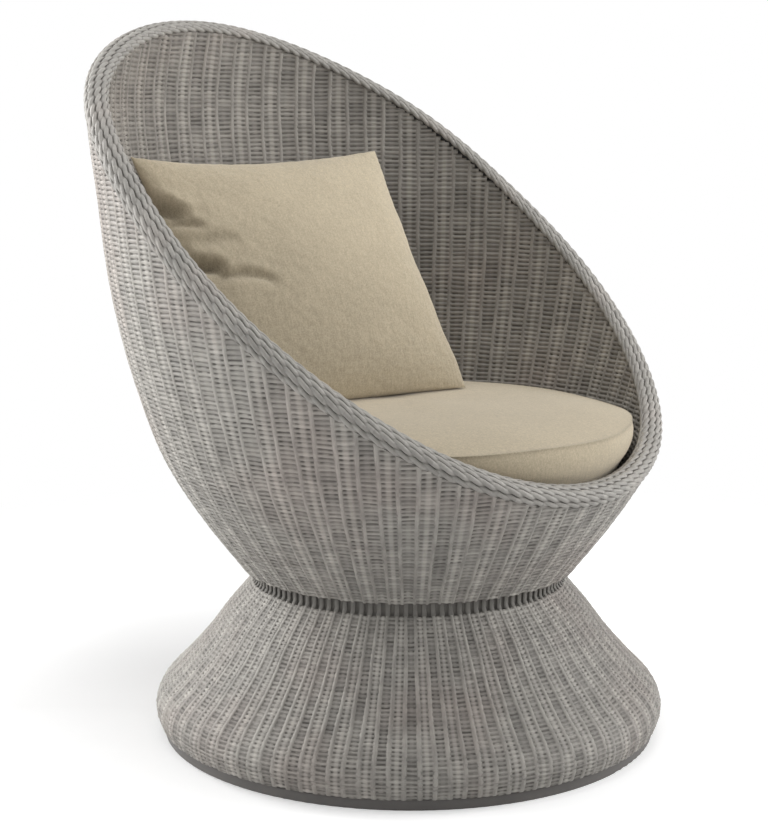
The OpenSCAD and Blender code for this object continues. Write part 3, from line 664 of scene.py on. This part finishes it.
def creased(co, u, v):
    """Sinks the creases into the face that looks forward. Gives the points and the depths."""
    front = co[:, 1] < 0
    sunk = np.zeros(len(co))
    for u0, v0, u1, v1, bend, width, depth in CREASES:
        a, b = np.array([u0, v0]), np.array([u1, v1])
        d = b - a
        length = np.linalg.norm(d)
        t = ((u - u0) * d[0] + (v - v0) * d[1]) / length ** 2
        off = ((u - u0) * -d[1] + (v - v0) * d[0]) / length
        off = off - bend * length * 4 * t * (1 - t)
        along = np.clip(1 - np.abs(2 * t - 1) ** 3, 0, 1) * (t > 0) * (t < 1)
        dip = np.exp(-(off / width) ** 2) - 0.2 * np.exp(-((off - 2 * width) / width) ** 2)
        moved = np.where(front, depth * along * dip, 0)
        co[:, 1] += moved
        sunk += moved
    return co, sunk


def kept_in_bowl(co):
    """Presses the cushion flat where it meets the bowl's inside and the seat cushion."""
    r, a = np.hypot(co[:, 0], co[:, 1]), np.arctan2(co[:, 1], co[:, 0])
    most = BOWL.inside_r(co[:, 2], WALL_T) - BACK_WALL_ROOM
    r = np.minimum(r, most)
    out = np.stack([r * np.cos(a), r * np.sin(a), co[:, 2]], -1)
    rest = seat_top_z(r) + BACK_SEAT_ROOM
    above = np.maximum(out[:, 2] - rest, 0)
    sunk = CONTACT_PRESS * above * np.clip(1 - above / CONTACT_H, 0, 1) ** 2
    out[:, 2] = rest + above - sunk
    return out


# Materials
class Nodes:
    """Builds one material's node tree in short calls."""

    def __init__(self, name):
        self.material = bpy.data.materials.new(name)
        self.material.use_nodes = True
        self.tree = self.material.node_tree
        self.tree.nodes.clear()

    def node(self, kind, values=None, **settings):
        made = self.tree.nodes.new(kind)
        for key, value in settings.items():
            setattr(made, key, value)
        for key, value in (values or {}).items():
            self.put(made.inputs[key], value)
        return made

    def put(self, socket, value):
        if isinstance(value, bpy.types.NodeSocket):
            self.tree.links.new(value, socket)
        elif socket.type == "RGBA" and len(value) == 3:
            socket.default_value = (*value, 1)
        else:
            socket.default_value = value

    def math(self, operation, a, b=0.0, c=0.0, clamp=False):
        return self.node("ShaderNodeMath", {0: a, 1: b, 2: c}, operation=operation,
                         use_clamp=clamp).outputs[0]

    def value(self, name):
        return self.node("ShaderNodeAttribute", attribute_name=name,
                         attribute_type="GEOMETRY").outputs["Fac"]

    def place(self):
        return self.node("ShaderNodeTexCoord").outputs["Object"]

    def vector(self, x, y, z=0.0):
        return self.node("ShaderNodeCombineXYZ", {0: x, 1: y, 2: z}).outputs[0]

    def noise(self, vector, scale, detail=3.0, rough=0.5):
        return self.node("ShaderNodeTexNoise", {"Vector": vector, "Scale": scale,
                         "Detail": detail, "Roughness": rough}).outputs["Fac"]

    def random(self, vector):
        return self.node("ShaderNodeTexWhiteNoise", {"Vector": vector},
                         noise_dimensions="3D").outputs["Value"]

    def ramp(self, value, low, high, to_low=0.0, to_high=1.0, smooth=True):
        return self.node("ShaderNodeMapRange", {"Value": value, "From Min": low, "From Max": high,
                         "To Min": to_low, "To Max": to_high},
                         interpolation_type="SMOOTHSTEP" if smooth else "LINEAR").outputs[0]

    def mix(self, share, a, b, blend="MIX"):
        made = self.node("ShaderNodeMix", data_type="RGBA", blend_type=blend)
        for socket, value in zip((made.inputs[0], made.inputs[6], made.inputs[7]), (share, a, b)):
            self.put(socket, value)
        return made.outputs[2]

    def shade(self, colour, factor):
        """A colour made lighter or darker by a number round 1."""
        made = self.node("ShaderNodeMix", data_type="RGBA", blend_type="MULTIPLY")
        self.put(made.inputs[0], 1.0)
        self.put(made.inputs[6], colour)
        self.put(made.inputs[7], self.node("ShaderNodeCombineColor",
                                           {0: factor, 1: factor, 2: factor}).outputs[0])
        return made.outputs[2]

    def bump(self, height, strength, distance):
        return self.node("ShaderNodeBump", {"Height": height, "Strength": strength,
                         "Distance": distance}).outputs["Normal"]

    def surface(self, values):
        shader = self.node("ShaderNodeBsdfPrincipled", values)
        self.node("ShaderNodeOutputMaterial", {"Surface": shader.outputs[0]})
        return self.material


def weave_material(name, colour, dark, tint, groove_share=0.9, low=0.0, high=0.0):
    """Weathered synthetic strands: soft light stakes, and rows with dashes of painted shade between them.
    low and high are the painted shade and light that the tone gains near the floor and higher up."""
    n = Nodes(name)
    row, stake, is_stake = n.value("row"), n.value("stake"), n.ramp(n.value("swing"), 0.55, 1.25)
    inside, place = n.math("FRACT", row), n.math("FRACT", stake)
    from_middle = n.math("MULTIPLY", n.math("ABSOLUTE", n.math("SUBTRACT", inside, 0.5)), 2.0)
    groove = n.ramp(from_middle, 0.32, 0.9)
    from_stake = n.math("SUBTRACT", 0.5, n.math("ABSOLUTE", n.math("SUBTRACT", place, 0.5)))
    span = n.math("FLOOR", stake)
    odd = n.math("MODULO", span, 2.0)
    is_row = n.math("SUBTRACT", 1.0, is_stake)
    slow = n.noise(n.vector(n.math("MULTIPLY", span, 7.31), n.math("MULTIPLY", row, 0.11)),
                   1.0, 2.0)
    block = n.noise(n.vector(n.math("MULTIPLY", span, 11.7), n.math("MULTIPLY", row, 0.24), 3.0),
                    1.0, 1.0)
    fibre = n.noise(n.vector(n.math("MULTIPLY", stake, 3.0), n.math("MULTIPLY", row, 9.0)),
                    1.0, 4.0)
    grain = n.noise(n.vector(n.math("MULTIPLY", stake, 26.0), n.math("MULTIPLY", row, 0.5)),
                    1.0, 3.0)
    strand = n.random(n.vector(n.math("FLOOR", row), span))
    length = n.noise(n.vector(n.math("MULTIPLY", n.math("ROUND", stake), 5.3),
                              n.math("MULTIPLY", row, 0.13), 8.0), 1.0, 2.0)
    patch = n.noise(n.place(), 6.0, 3.0)
    # Tone of the rows: every second span is darker with painted shade, the others lighter over a hidden
    # stake, where a painted highlight sits on their bulge
    shadow = n.math("ADD", n.ramp(slow, 0.3, 0.7, 0.76, 1.0),
                    n.ramp(from_stake, 0.3, 0.48, 0.0, 0.08))
    light_span = n.math("ADD", n.ramp(slow, 0.3, 0.7, 0.84, 1.04),
                        n.ramp(from_stake, 0.26, 0.46, 0.0, 0.3))
    tone = n.math("ADD", n.math("MULTIPLY", shadow, n.math("SUBTRACT", 1.0, odd)),
                  n.math("MULTIPLY", light_span, odd))
    tone = n.math("ADD", tone, n.ramp(strand, 0, 1, -0.15, 0.15, smooth=False))
    tone = n.math("ADD", tone, n.ramp(fibre, 0.25, 0.75, -0.09, 0.09))
    upright = n.math("ADD", n.ramp(length, 0.3, 0.7, 0.86, 1.16),
                     n.ramp(grain, 0.25, 0.75, -0.07, 0.07))
    upright = n.math("ADD", upright, n.ramp(strand, 0, 1, -0.06, 0.06, smooth=False))
    tone = n.math("ADD", n.math("MULTIPLY", tone, is_row), n.math("MULTIPLY", upright, is_stake))
    # Painted shade and light by height: the tone is lower near the floor and higher further up
    above_floor = n.node("ShaderNodeSeparateXYZ", {0: n.place()}).outputs[2]
    tone = n.math("ADD", tone, n.ramp(above_floor, 0.15, 0.6, low, high))
    base = n.mix(n.ramp(patch, 0.45, 0.72, 0.0, 0.5), colour, tint)
    base = n.shade(base, tone)
    # The gaps between rows get painted shade: dashes from each stake to the next, or to the hidden one
    # between them
    split = n.math("ADD", odd, n.ramp(n.random(n.vector(n.math("FLOOR", row), span, 4.0)),
                                      0.2, 0.6, 0.0, 0.85), clamp=True)
    past_middle = n.math("MULTIPLY", split, n.ramp(from_stake, 0.26, 0.42, 0.0, 1.0))
    dash = n.math("MULTIPLY", n.ramp(from_stake, 0.08, 0.2), n.math("SUBTRACT", 1.0, past_middle))
    gap_shade = n.math("MULTIPLY", n.math("MULTIPLY", groove, is_row), dash)
    gap_shade = n.math("MULTIPLY", gap_shade, n.ramp(block, 0.36, 0.62, 0.3 * groove_share, groove_share))
    single = n.random(n.vector(n.math("ROUND", row), n.math("FLOOR", n.math("MULTIPLY", stake, 2.0)),
                               6.0))
    gap_shade = n.math("MULTIPLY", gap_shade, n.ramp(single, 0.0, 0.6, 0.45, 1.0))
    base = n.mix(gap_shade, base, dark)
    height = n.math("SUBTRACT", n.math("MULTIPLY", fibre, 0.35),
                    n.math("MULTIPLY", n.math("MULTIPLY", groove, is_row), dash))
    return n.surface({"Base Color": base, "Roughness": n.ramp(fibre, 0.2, 0.8, 0.5, 0.68),
                      "Specular IOR Level": 0.3, "Normal": n.bump(height, 0.5, 0.0006)})


STITCHES = 206.0


def braid_material(name, colour, dark):
    """Twisted strands, each visible stretch with a tone of its own, with painted shade where they dive."""
    n = Nodes(name)
    along, row, swing = n.value("along"), n.value("row"), n.value("swing")
    stitch = n.random(n.vector(n.math("FLOOR", n.math("MULTIPLY", along, STITCHES)), row))
    fibre = n.noise(n.vector(n.math("MULTIPLY", along, 900.0), n.math("MULTIPLY", row, 5.3)),
                    1.0, 4.0)
    patch = n.noise(n.place(), 9.0, 3.0)
    tone = n.math("ADD", n.ramp(stitch, 0, 1, 0.88, 1.1, smooth=False),
                  n.ramp(fibre, 0.25, 0.75, -0.06, 0.06))
    tone = n.math("ADD", tone, n.ramp(patch, 0.35, 0.7, -0.06, 0.05))
    base = n.shade(n.mix(n.ramp(patch, 0.5, 0.75, 0.0, 0.4), colour, (0.36, 0.31, 0.28)), tone)
    # Painted shade where a strand dives under its partner
    base = n.mix(n.ramp(swing, -1.0, -0.1, 0.6, 0.0), base, dark)
    return n.surface({"Base Color": base, "Roughness": n.ramp(fibre, 0.2, 0.8, 0.48, 0.66),
                      "Specular IOR Level": 0.35, "Normal": n.bump(fibre, 0.25, 0.0004)})


THREAD_PITCH = 0.0016


def fabric_material(name, colour):
    """Plain-woven outdoor cloth: fine threads, a soft fuzz and slow changes of tone. It has painted
    shade where the value painted_light is low and in creases, and is darker along a seam."""
    n = Nodes(name)
    thread = 2 * math.pi / THREAD_PITCH
    warp = n.math("MULTIPLY", n.value("warp"), thread)
    weft = n.math("MULTIPLY", n.value("weft"), thread)
    over = n.math("MULTIPLY", n.math("SINE", warp), n.math("SINE", weft))
    slub = n.noise(n.vector(n.math("MULTIPLY", n.value("warp"), 420.0),
                            n.math("MULTIPLY", n.value("weft"), 60.0)), 1.0, 3.0)
    fleck = n.noise(n.place(), 520.0, 3.0)
    patch = n.noise(n.place(), 14.0, 3.0)
    mottle = n.noise(n.place(), 300.0, 2.0)
    tone = n.math("ADD", n.ramp(slub, 0.3, 0.7, 0.95, 1.05), n.ramp(fleck, 0.3, 0.7, -0.09, 0.09))
    tone = n.math("ADD", tone, n.ramp(mottle, 0.3, 0.7, -0.05, 0.05))
    # Painted light and shade: lighter where the value is high, darker where it is low
    tone = n.math("ADD", tone, n.ramp(n.value("painted_light"), 0.0, 0.9, -0.19, 0.07))
    tone = n.math("SUBTRACT", tone, n.math("MULTIPLY", n.value("seam"), 0.3))
    # Painted shade in the creases
    tone = n.math("SUBTRACT", tone, n.math("MULTIPLY", n.value("crease"), 0.38))
    tone = n.math("ADD", tone, n.ramp(over, -1.0, 1.0, -0.035, 0.035, smooth=False))
    tone = n.math("ADD", tone, n.ramp(patch, 0.3, 0.7, -0.025, 0.025))
    height = n.math("ADD", n.math("MULTIPLY", over, 0.5), n.math("MULTIPLY", fleck, 0.8))
    return n.surface({"Base Color": n.shade(colour, tone), "Roughness": 0.92,
                      "Specular IOR Level": 0.2, "Sheen Weight": 0.25, "Sheen Roughness": 0.5,
                      "Normal": n.bump(height, 0.35, 0.0004)})


DECK_STRAND_W = 0.011


def deck_material(name, colour, dark):
    """Woven seat deck: flat strands that cross over and under in both directions, with painted shade where
    they dive and between them.
    """
    n = Nodes(name)
    parts = n.node("ShaderNodeSeparateXYZ", {0: n.place()}).outputs
    x, y = [n.math("MULTIPLY", parts[axis], 1 / DECK_STRAND_W) for axis in (0, 1)]
    cell = n.vector(n.math("FLOOR", x), n.math("FLOOR", y))
    over = n.math("ABSOLUTE", n.math("MODULO", n.math("ADD", n.math("FLOOR", x), n.math("FLOOR", y)),
                                     2.0))
    under = n.math("SUBTRACT", 1.0, over)
    across, along = [n.math("MULTIPLY", n.math("ABSOLUTE", n.math("SUBTRACT", n.math("FRACT", way),
                                                                 0.5)), 2.0) for way in (x, y)]
    side = n.math("ADD", n.math("MULTIPLY", over, across), n.math("MULTIPLY", under, along))
    end = n.math("ADD", n.math("MULTIPLY", over, along), n.math("MULTIPLY", under, across))
    fibre = n.noise(n.vector(n.math("MULTIPLY", x, 6.0), n.math("MULTIPLY", y, 6.0)), 1.0, 4.0)
    tone = n.math("ADD", n.ramp(n.random(cell), 0, 1, 0.88, 1.1, smooth=False),
                  n.ramp(fibre, 0.25, 0.75, -0.08, 0.08))
    # Painted shade: darker towards a strand's ends where it dives, and dark in the gaps along its sides
    base = n.shade(n.shade(colour, tone), n.ramp(end, 0.4, 1.0, 1.0, 0.6))
    base = n.mix(n.ramp(side, 0.78, 0.98), base, dark)
    height = n.math("SUBTRACT", 1.0, n.math("ADD", n.math("MULTIPLY", n.ramp(side, 0.4, 1.0), 0.7),
                                            n.math("MULTIPLY", n.ramp(end, 0.4, 1.0), 0.5)))
    return n.surface({"Base Color": base, "Roughness": 0.6, "Specular IOR Level": 0.3,
                      "Normal": n.bump(height, 0.8, 0.0015)})


def coat_material(name, colour, rough=0.45, grain=900.0):
    """Powder coat: a fine orange peel, a little dust and a tone that wears unevenly."""
    n = Nodes(name)
    place = n.place()
    peel = n.noise(place, grain, 2.0)
    dust = n.noise(place, 24.0, 4.0)
    base = n.shade(colour, n.ramp(dust, 0.3, 0.7, 0.9, 1.1))
    return n.surface({"Base Color": base, "Specular IOR Level": 0.45,
                      "Roughness": n.ramp(dust, 0.3, 0.7, rough - 0.06, rough + 0.1),
                      "Normal": n.bump(peel, 0.2, 0.0003)})


def metal_material(name, colour, rough):
    """Turned or pressed metal with fine round marks."""
    n = Nodes(name)
    place = n.place()
    parts = n.node("ShaderNodeSeparateXYZ", {0: place}).outputs
    far = n.math("SQRT", n.math("ADD", n.math("POWER", parts[0], 2.0), n.math("POWER", parts[1], 2.0)))
    marks = n.noise(n.vector(n.math("MULTIPLY", far, 2400.0), n.math("MULTIPLY", parts[2], 900.0)),
                    1.0, 2.0)
    cloud = n.noise(place, 45.0, 3.0)
    base = n.shade(colour, n.ramp(cloud, 0.3, 0.7, 0.88, 1.08))
    return n.surface({"Base Color": base, "Metallic": 1.0,
                      "Roughness": n.ramp(marks, 0.3, 0.7, rough - 0.08, rough + 0.12),
                      "Normal": n.bump(marks, 0.12, 0.0002)})


def dress(piece, material, body=None, replaces=()):
    piece.data.materials.clear()
    piece.data.materials.append(material)
    if body:
        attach(piece, body)
    if replaces:
        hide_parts(*replaces)
    return piece


# Colours, in linear light
# The weave's dark colours are painted shade in the gaps between rows
OUTER_COLOUR, OUTER_GAP_SHADE, OUTER_TINT = (0.37, 0.352, 0.322), (0.085, 0.078, 0.068), (0.37, 0.315, 0.285)
# The inner face's colours are a darker copy of the outer face's, as painted shade
INNER_COLOUR, INNER_GAP_SHADE, INNER_TINT = (0.325, 0.304, 0.274), (0.085, 0.076, 0.066), (0.32, 0.275, 0.243)
# The braid's dark colour is painted shade where its strands dive
BRAID_COLOUR, BRAID_DIVE_SHADE = (0.385, 0.368, 0.34), (0.12, 0.112, 0.10)
CLOTH_COLOUR = (0.514, 0.439, 0.315)

MATERIALS = {
    # The outer weave: painted shade near the floor and painted light higher up
    "weave": weave_material("weave", OUTER_COLOUR, OUTER_GAP_SHADE, OUTER_TINT, low=-0.1, high=0.08),
    # The inner face: a darker copy of the weave, as painted shade
    "inner_weave": weave_material("inner_weave", INNER_COLOUR, INNER_GAP_SHADE, INNER_TINT),
    "border": braid_material("border", BRAID_COLOUR, BRAID_DIVE_SHADE),
    # The border's core: a dark band as painted shade in the gaps between strands
    "core": coat_material("core", (0.12, 0.112, 0.10), 0.8),
    # The neck's lining: a dark band as painted shade under the bowl
    "neck": coat_material("neck", (0.21, 0.198, 0.18), 0.8),
    # The neck's stakes: a darker copy of the weave, as painted shade from the bowl above
    "neck_stake": coat_material("neck_stake", (0.19, 0.18, 0.163), 0.7, 500.0),
    "deck": deck_material("deck", (0.27, 0.252, 0.226), (0.05, 0.046, 0.04)),
    "frame": coat_material("frame", (0.075, 0.073, 0.07)),
    "foot": coat_material("foot", (0.13, 0.122, 0.115), 0.55),
    "bearing": metal_material("bearing", (0.52, 0.53, 0.55), 0.32),
    "cage": metal_material("cage", (0.58, 0.45, 0.17), 0.3),
    "cover": fabric_material("cover", CLOTH_COLOUR),
}

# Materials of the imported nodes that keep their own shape
for node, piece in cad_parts.items():
    kind = "frame"
    if node == "foot_hoop":
        kind = "foot"
    elif node == "seat_deck":
        kind = "deck"
    elif node == "swivel_ball_cage":
        kind = "cage"
    elif node.startswith(("swivel_", "king_")) or node.endswith(("_bolts", "_nuts")):
        kind = "bearing"
    piece.data.materials.clear()
    piece.data.materials.append(MATERIALS[kind])

dress(outer_weave(), MATERIALS["weave"], "bowl", ["outer_weave"])
dress(inner_weave(), MATERIALS["inner_weave"], "bowl", ["inner_weave"])
dress(skirt_weave(), MATERIALS["weave"], "base", ["base_skirt"])
dress(neck_stakes(), MATERIALS["neck_stake"], "base")
dress(neck_lining(), MATERIALS["neck"], "base")
dress(rim_border(), MATERIALS["border"], "bowl", ["rim_border"])
dress(border_core(), MATERIALS["core"], "bowl")

seat = seat_cushion()
dress(seat, MATERIALS["cover"], "seat_cushion", ["seat_cushion_cover", "seat_cushion_foam"])
back = back_cushion()
dress(back, MATERIALS["cover"], "back_cushion",
      ["back_cushion_front_panel", "back_cushion_back_panel", "back_cushion_filling"])

# Camera at the photograph's viewing angle
CAMERA_PLACE = Vector((-1.9798, -1.5468, 0.8716))
CAMERA_AHEAD = Vector((0.7686, 0.6180, -0.1654))
camera_data = bpy.data.cameras.new("camera")
camera_data.lens, camera_data.sensor_width = 77.88, 36
camera = bpy.data.objects.new("camera", camera_data)
camera.location = CAMERA_PLACE
camera.rotation_mode = "QUATERNION"
camera.rotation_quaternion = CAMERA_AHEAD.to_track_quat("-Z", "Y")
bpy.context.scene.collection.objects.link(camera)
bpy.context.scene.camera = camera
camera_data.clip_start, camera_data.clip_end = 0.05, 60


# Light and background
def area_light(name, place, target, size, power, colour=(1, 1, 1)):
    data = bpy.data.lights.new(name, "AREA")
    data.shape, data.size, data.energy, data.color = "DISK", size, power, colour
    lamp = bpy.data.objects.new(name, data)
    lamp.location = place
    lamp.rotation_mode = "QUATERNION"
    lamp.rotation_quaternion = (Vector(target) - Vector(place)).to_track_quat("-Z", "Y")
    bpy.context.scene.collection.objects.link(lamp)


MIDDLE = (0, 0, 0.5)
area_light("left", (-2.0, 2.3, 1.3), MIDDLE, 1.8, 49)
area_light("left_back", (-0.6, 3.2, 2.0), MIDDLE, 1.8, 85)
area_light("right", (1.9, -2.2, 1.3), MIDDLE, 1.8, 61)
area_light("front_fill", (-2.4, -1.9, 1.8), MIDDLE, 2.4, 16)
area_light("top", (0.2, 0.2, 4.2), MIDDLE, 2.8, 68)

world = bpy.data.worlds.new("studio")
bpy.context.scene.world = world
world.use_nodes = True
tree = world.node_tree
tree.nodes.clear()
seen = tree.nodes.new("ShaderNodeLightPath")
direct = tree.nodes.new("ShaderNodeMath")
direct.operation, direct.use_clamp = "ADD", True
direct_too = tree.nodes.new("ShaderNodeMath")
direct_too.operation, direct_too.use_clamp = "ADD", True
tree.links.new(seen.outputs["Is Camera Ray"], direct_too.inputs[0])
tree.links.new(seen.outputs["Is Transmission Ray"], direct_too.inputs[1])
tree.links.new(direct_too.outputs[0], direct.inputs[0])
tree.links.new(seen.outputs["Is Glossy Ray"], direct.inputs[1])
strength = tree.nodes.new("ShaderNodeMapRange")
strength.inputs["To Min"].default_value = 0.18
strength.inputs["To Max"].default_value = 1.0
tree.links.new(direct.outputs[0], strength.inputs["Value"])
background = tree.nodes.new("ShaderNodeBackground")
background.inputs["Color"].default_value = (1, 1, 1, 1)
tree.links.new(strength.outputs[0], background.inputs["Strength"])
output = tree.nodes.new("ShaderNodeOutputWorld")
tree.links.new(background.outputs[0], output.inputs["Surface"])


# The floor as the camera sees it, as the lamps' light bounces off it, its added glow, and
# the distances over which it turns white
FLOOR_ALBEDO, FLOOR_BOUNCE, FLOOR_GLOW, FLOOR_FADE = 0.8, 0.68, 0.45, (0.75, 1.7)
# Painted shadow on the floor: the glow left in it and how far it is dimmed
SHADOW_GLOW, SHADOW_DIM = 0.07, 0.17
# Directions on the floor as the camera sees them
LEFTWARD, TOWARD = (-0.627, 0.779, 0), (-0.779, -0.627, 0)


def floor():
    """A pale floor that shows white but for the object's soft shadow. The shadow falls
    leftward, where it is partly painted: a patch of less glow and some dimming."""
    reach = 14
    points = np.array([[-reach, -reach, 0], [reach, -reach, 0], [reach, reach, 0],
                       [-reach, reach, 0]], float)
    piece = make_mesh("floor", points, np.array([[0, 1, 2, 3]]), smooth=False)
    n = Nodes("floor")
    place = n.place()
    far = n.node("ShaderNodeVectorMath", {0: place}, operation="LENGTH").outputs["Value"]
    left, near = [n.node("ShaderNodeVectorMath", {0: place, 1: way},
                         operation="DOT_PRODUCT").outputs["Value"] for way in (LEFTWARD, TOWARD)]
    # Painted shadow: less glow and some dimming left of the chair
    low_glow = n.ramp(near, -0.06, 0.5, SHADOW_GLOW, FLOOR_GLOW, smooth=False)
    aside = n.ramp(left, -0.05, 0.25)
    glow_level = n.math("ADD", n.math("MULTIPLY", low_glow, aside),
                        n.math("MULTIPLY", n.math("SUBTRACT", 1.0, aside), FLOOR_GLOW))
    back = n.math("MULTIPLY", n.ramp(near, -0.8, -0.4), n.ramp(near, -0.35, 0.0, 1.0, 0.0))
    dim = n.math("MULTIPLY", n.math("MULTIPLY", n.ramp(left, 0.1, 0.3), n.ramp(left, 0.4, 0.75, 1.0, 0.0)),
                 n.math("MULTIPLY", back, SHADOW_DIM))
    diffuse = n.node("ShaderNodeBsdfDiffuse", {"Color": (FLOOR_ALBEDO,) * 3})
    bounce = n.node("ShaderNodeBsdfDiffuse", {"Color": (FLOOR_BOUNCE,) * 3})
    glow = n.node("ShaderNodeEmission", {"Color": (1, 1, 1), "Strength": glow_level})
    white = n.node("ShaderNodeEmission", {"Color": (1, 1, 1), "Strength": 1.0})
    black = n.node("ShaderNodeEmission", {"Color": (1, 1, 1), "Strength": 0.0})
    path = n.node("ShaderNodeLightPath")
    both = n.node("ShaderNodeAddShader", {0: diffuse.outputs[0], 1: glow.outputs[0]})
    dimmed = n.node("ShaderNodeMixShader", {0: dim, 1: both.outputs[0], 2: black.outputs[0]})
    seen_floor = n.node("ShaderNodeMixShader", {0: n.ramp(far, *FLOOR_FADE),
                                                1: dimmed.outputs[0], 2: white.outputs[0]})
    direct_ray = n.math("ADD", path.outputs["Is Camera Ray"],
                        n.math("ADD", path.outputs["Is Glossy Ray"],
                               path.outputs["Is Transmission Ray"]), clamp=True)
    shown = n.node("ShaderNodeMixShader", {0: direct_ray, 1: bounce.outputs[0],
                                           2: seen_floor.outputs[0]})
    n.node("ShaderNodeOutputMaterial", {"Surface": shown.outputs[0]})
    piece.data.materials.append(n.material)


floor()
bpy.context.scene.view_settings.view_transform = "Standard"
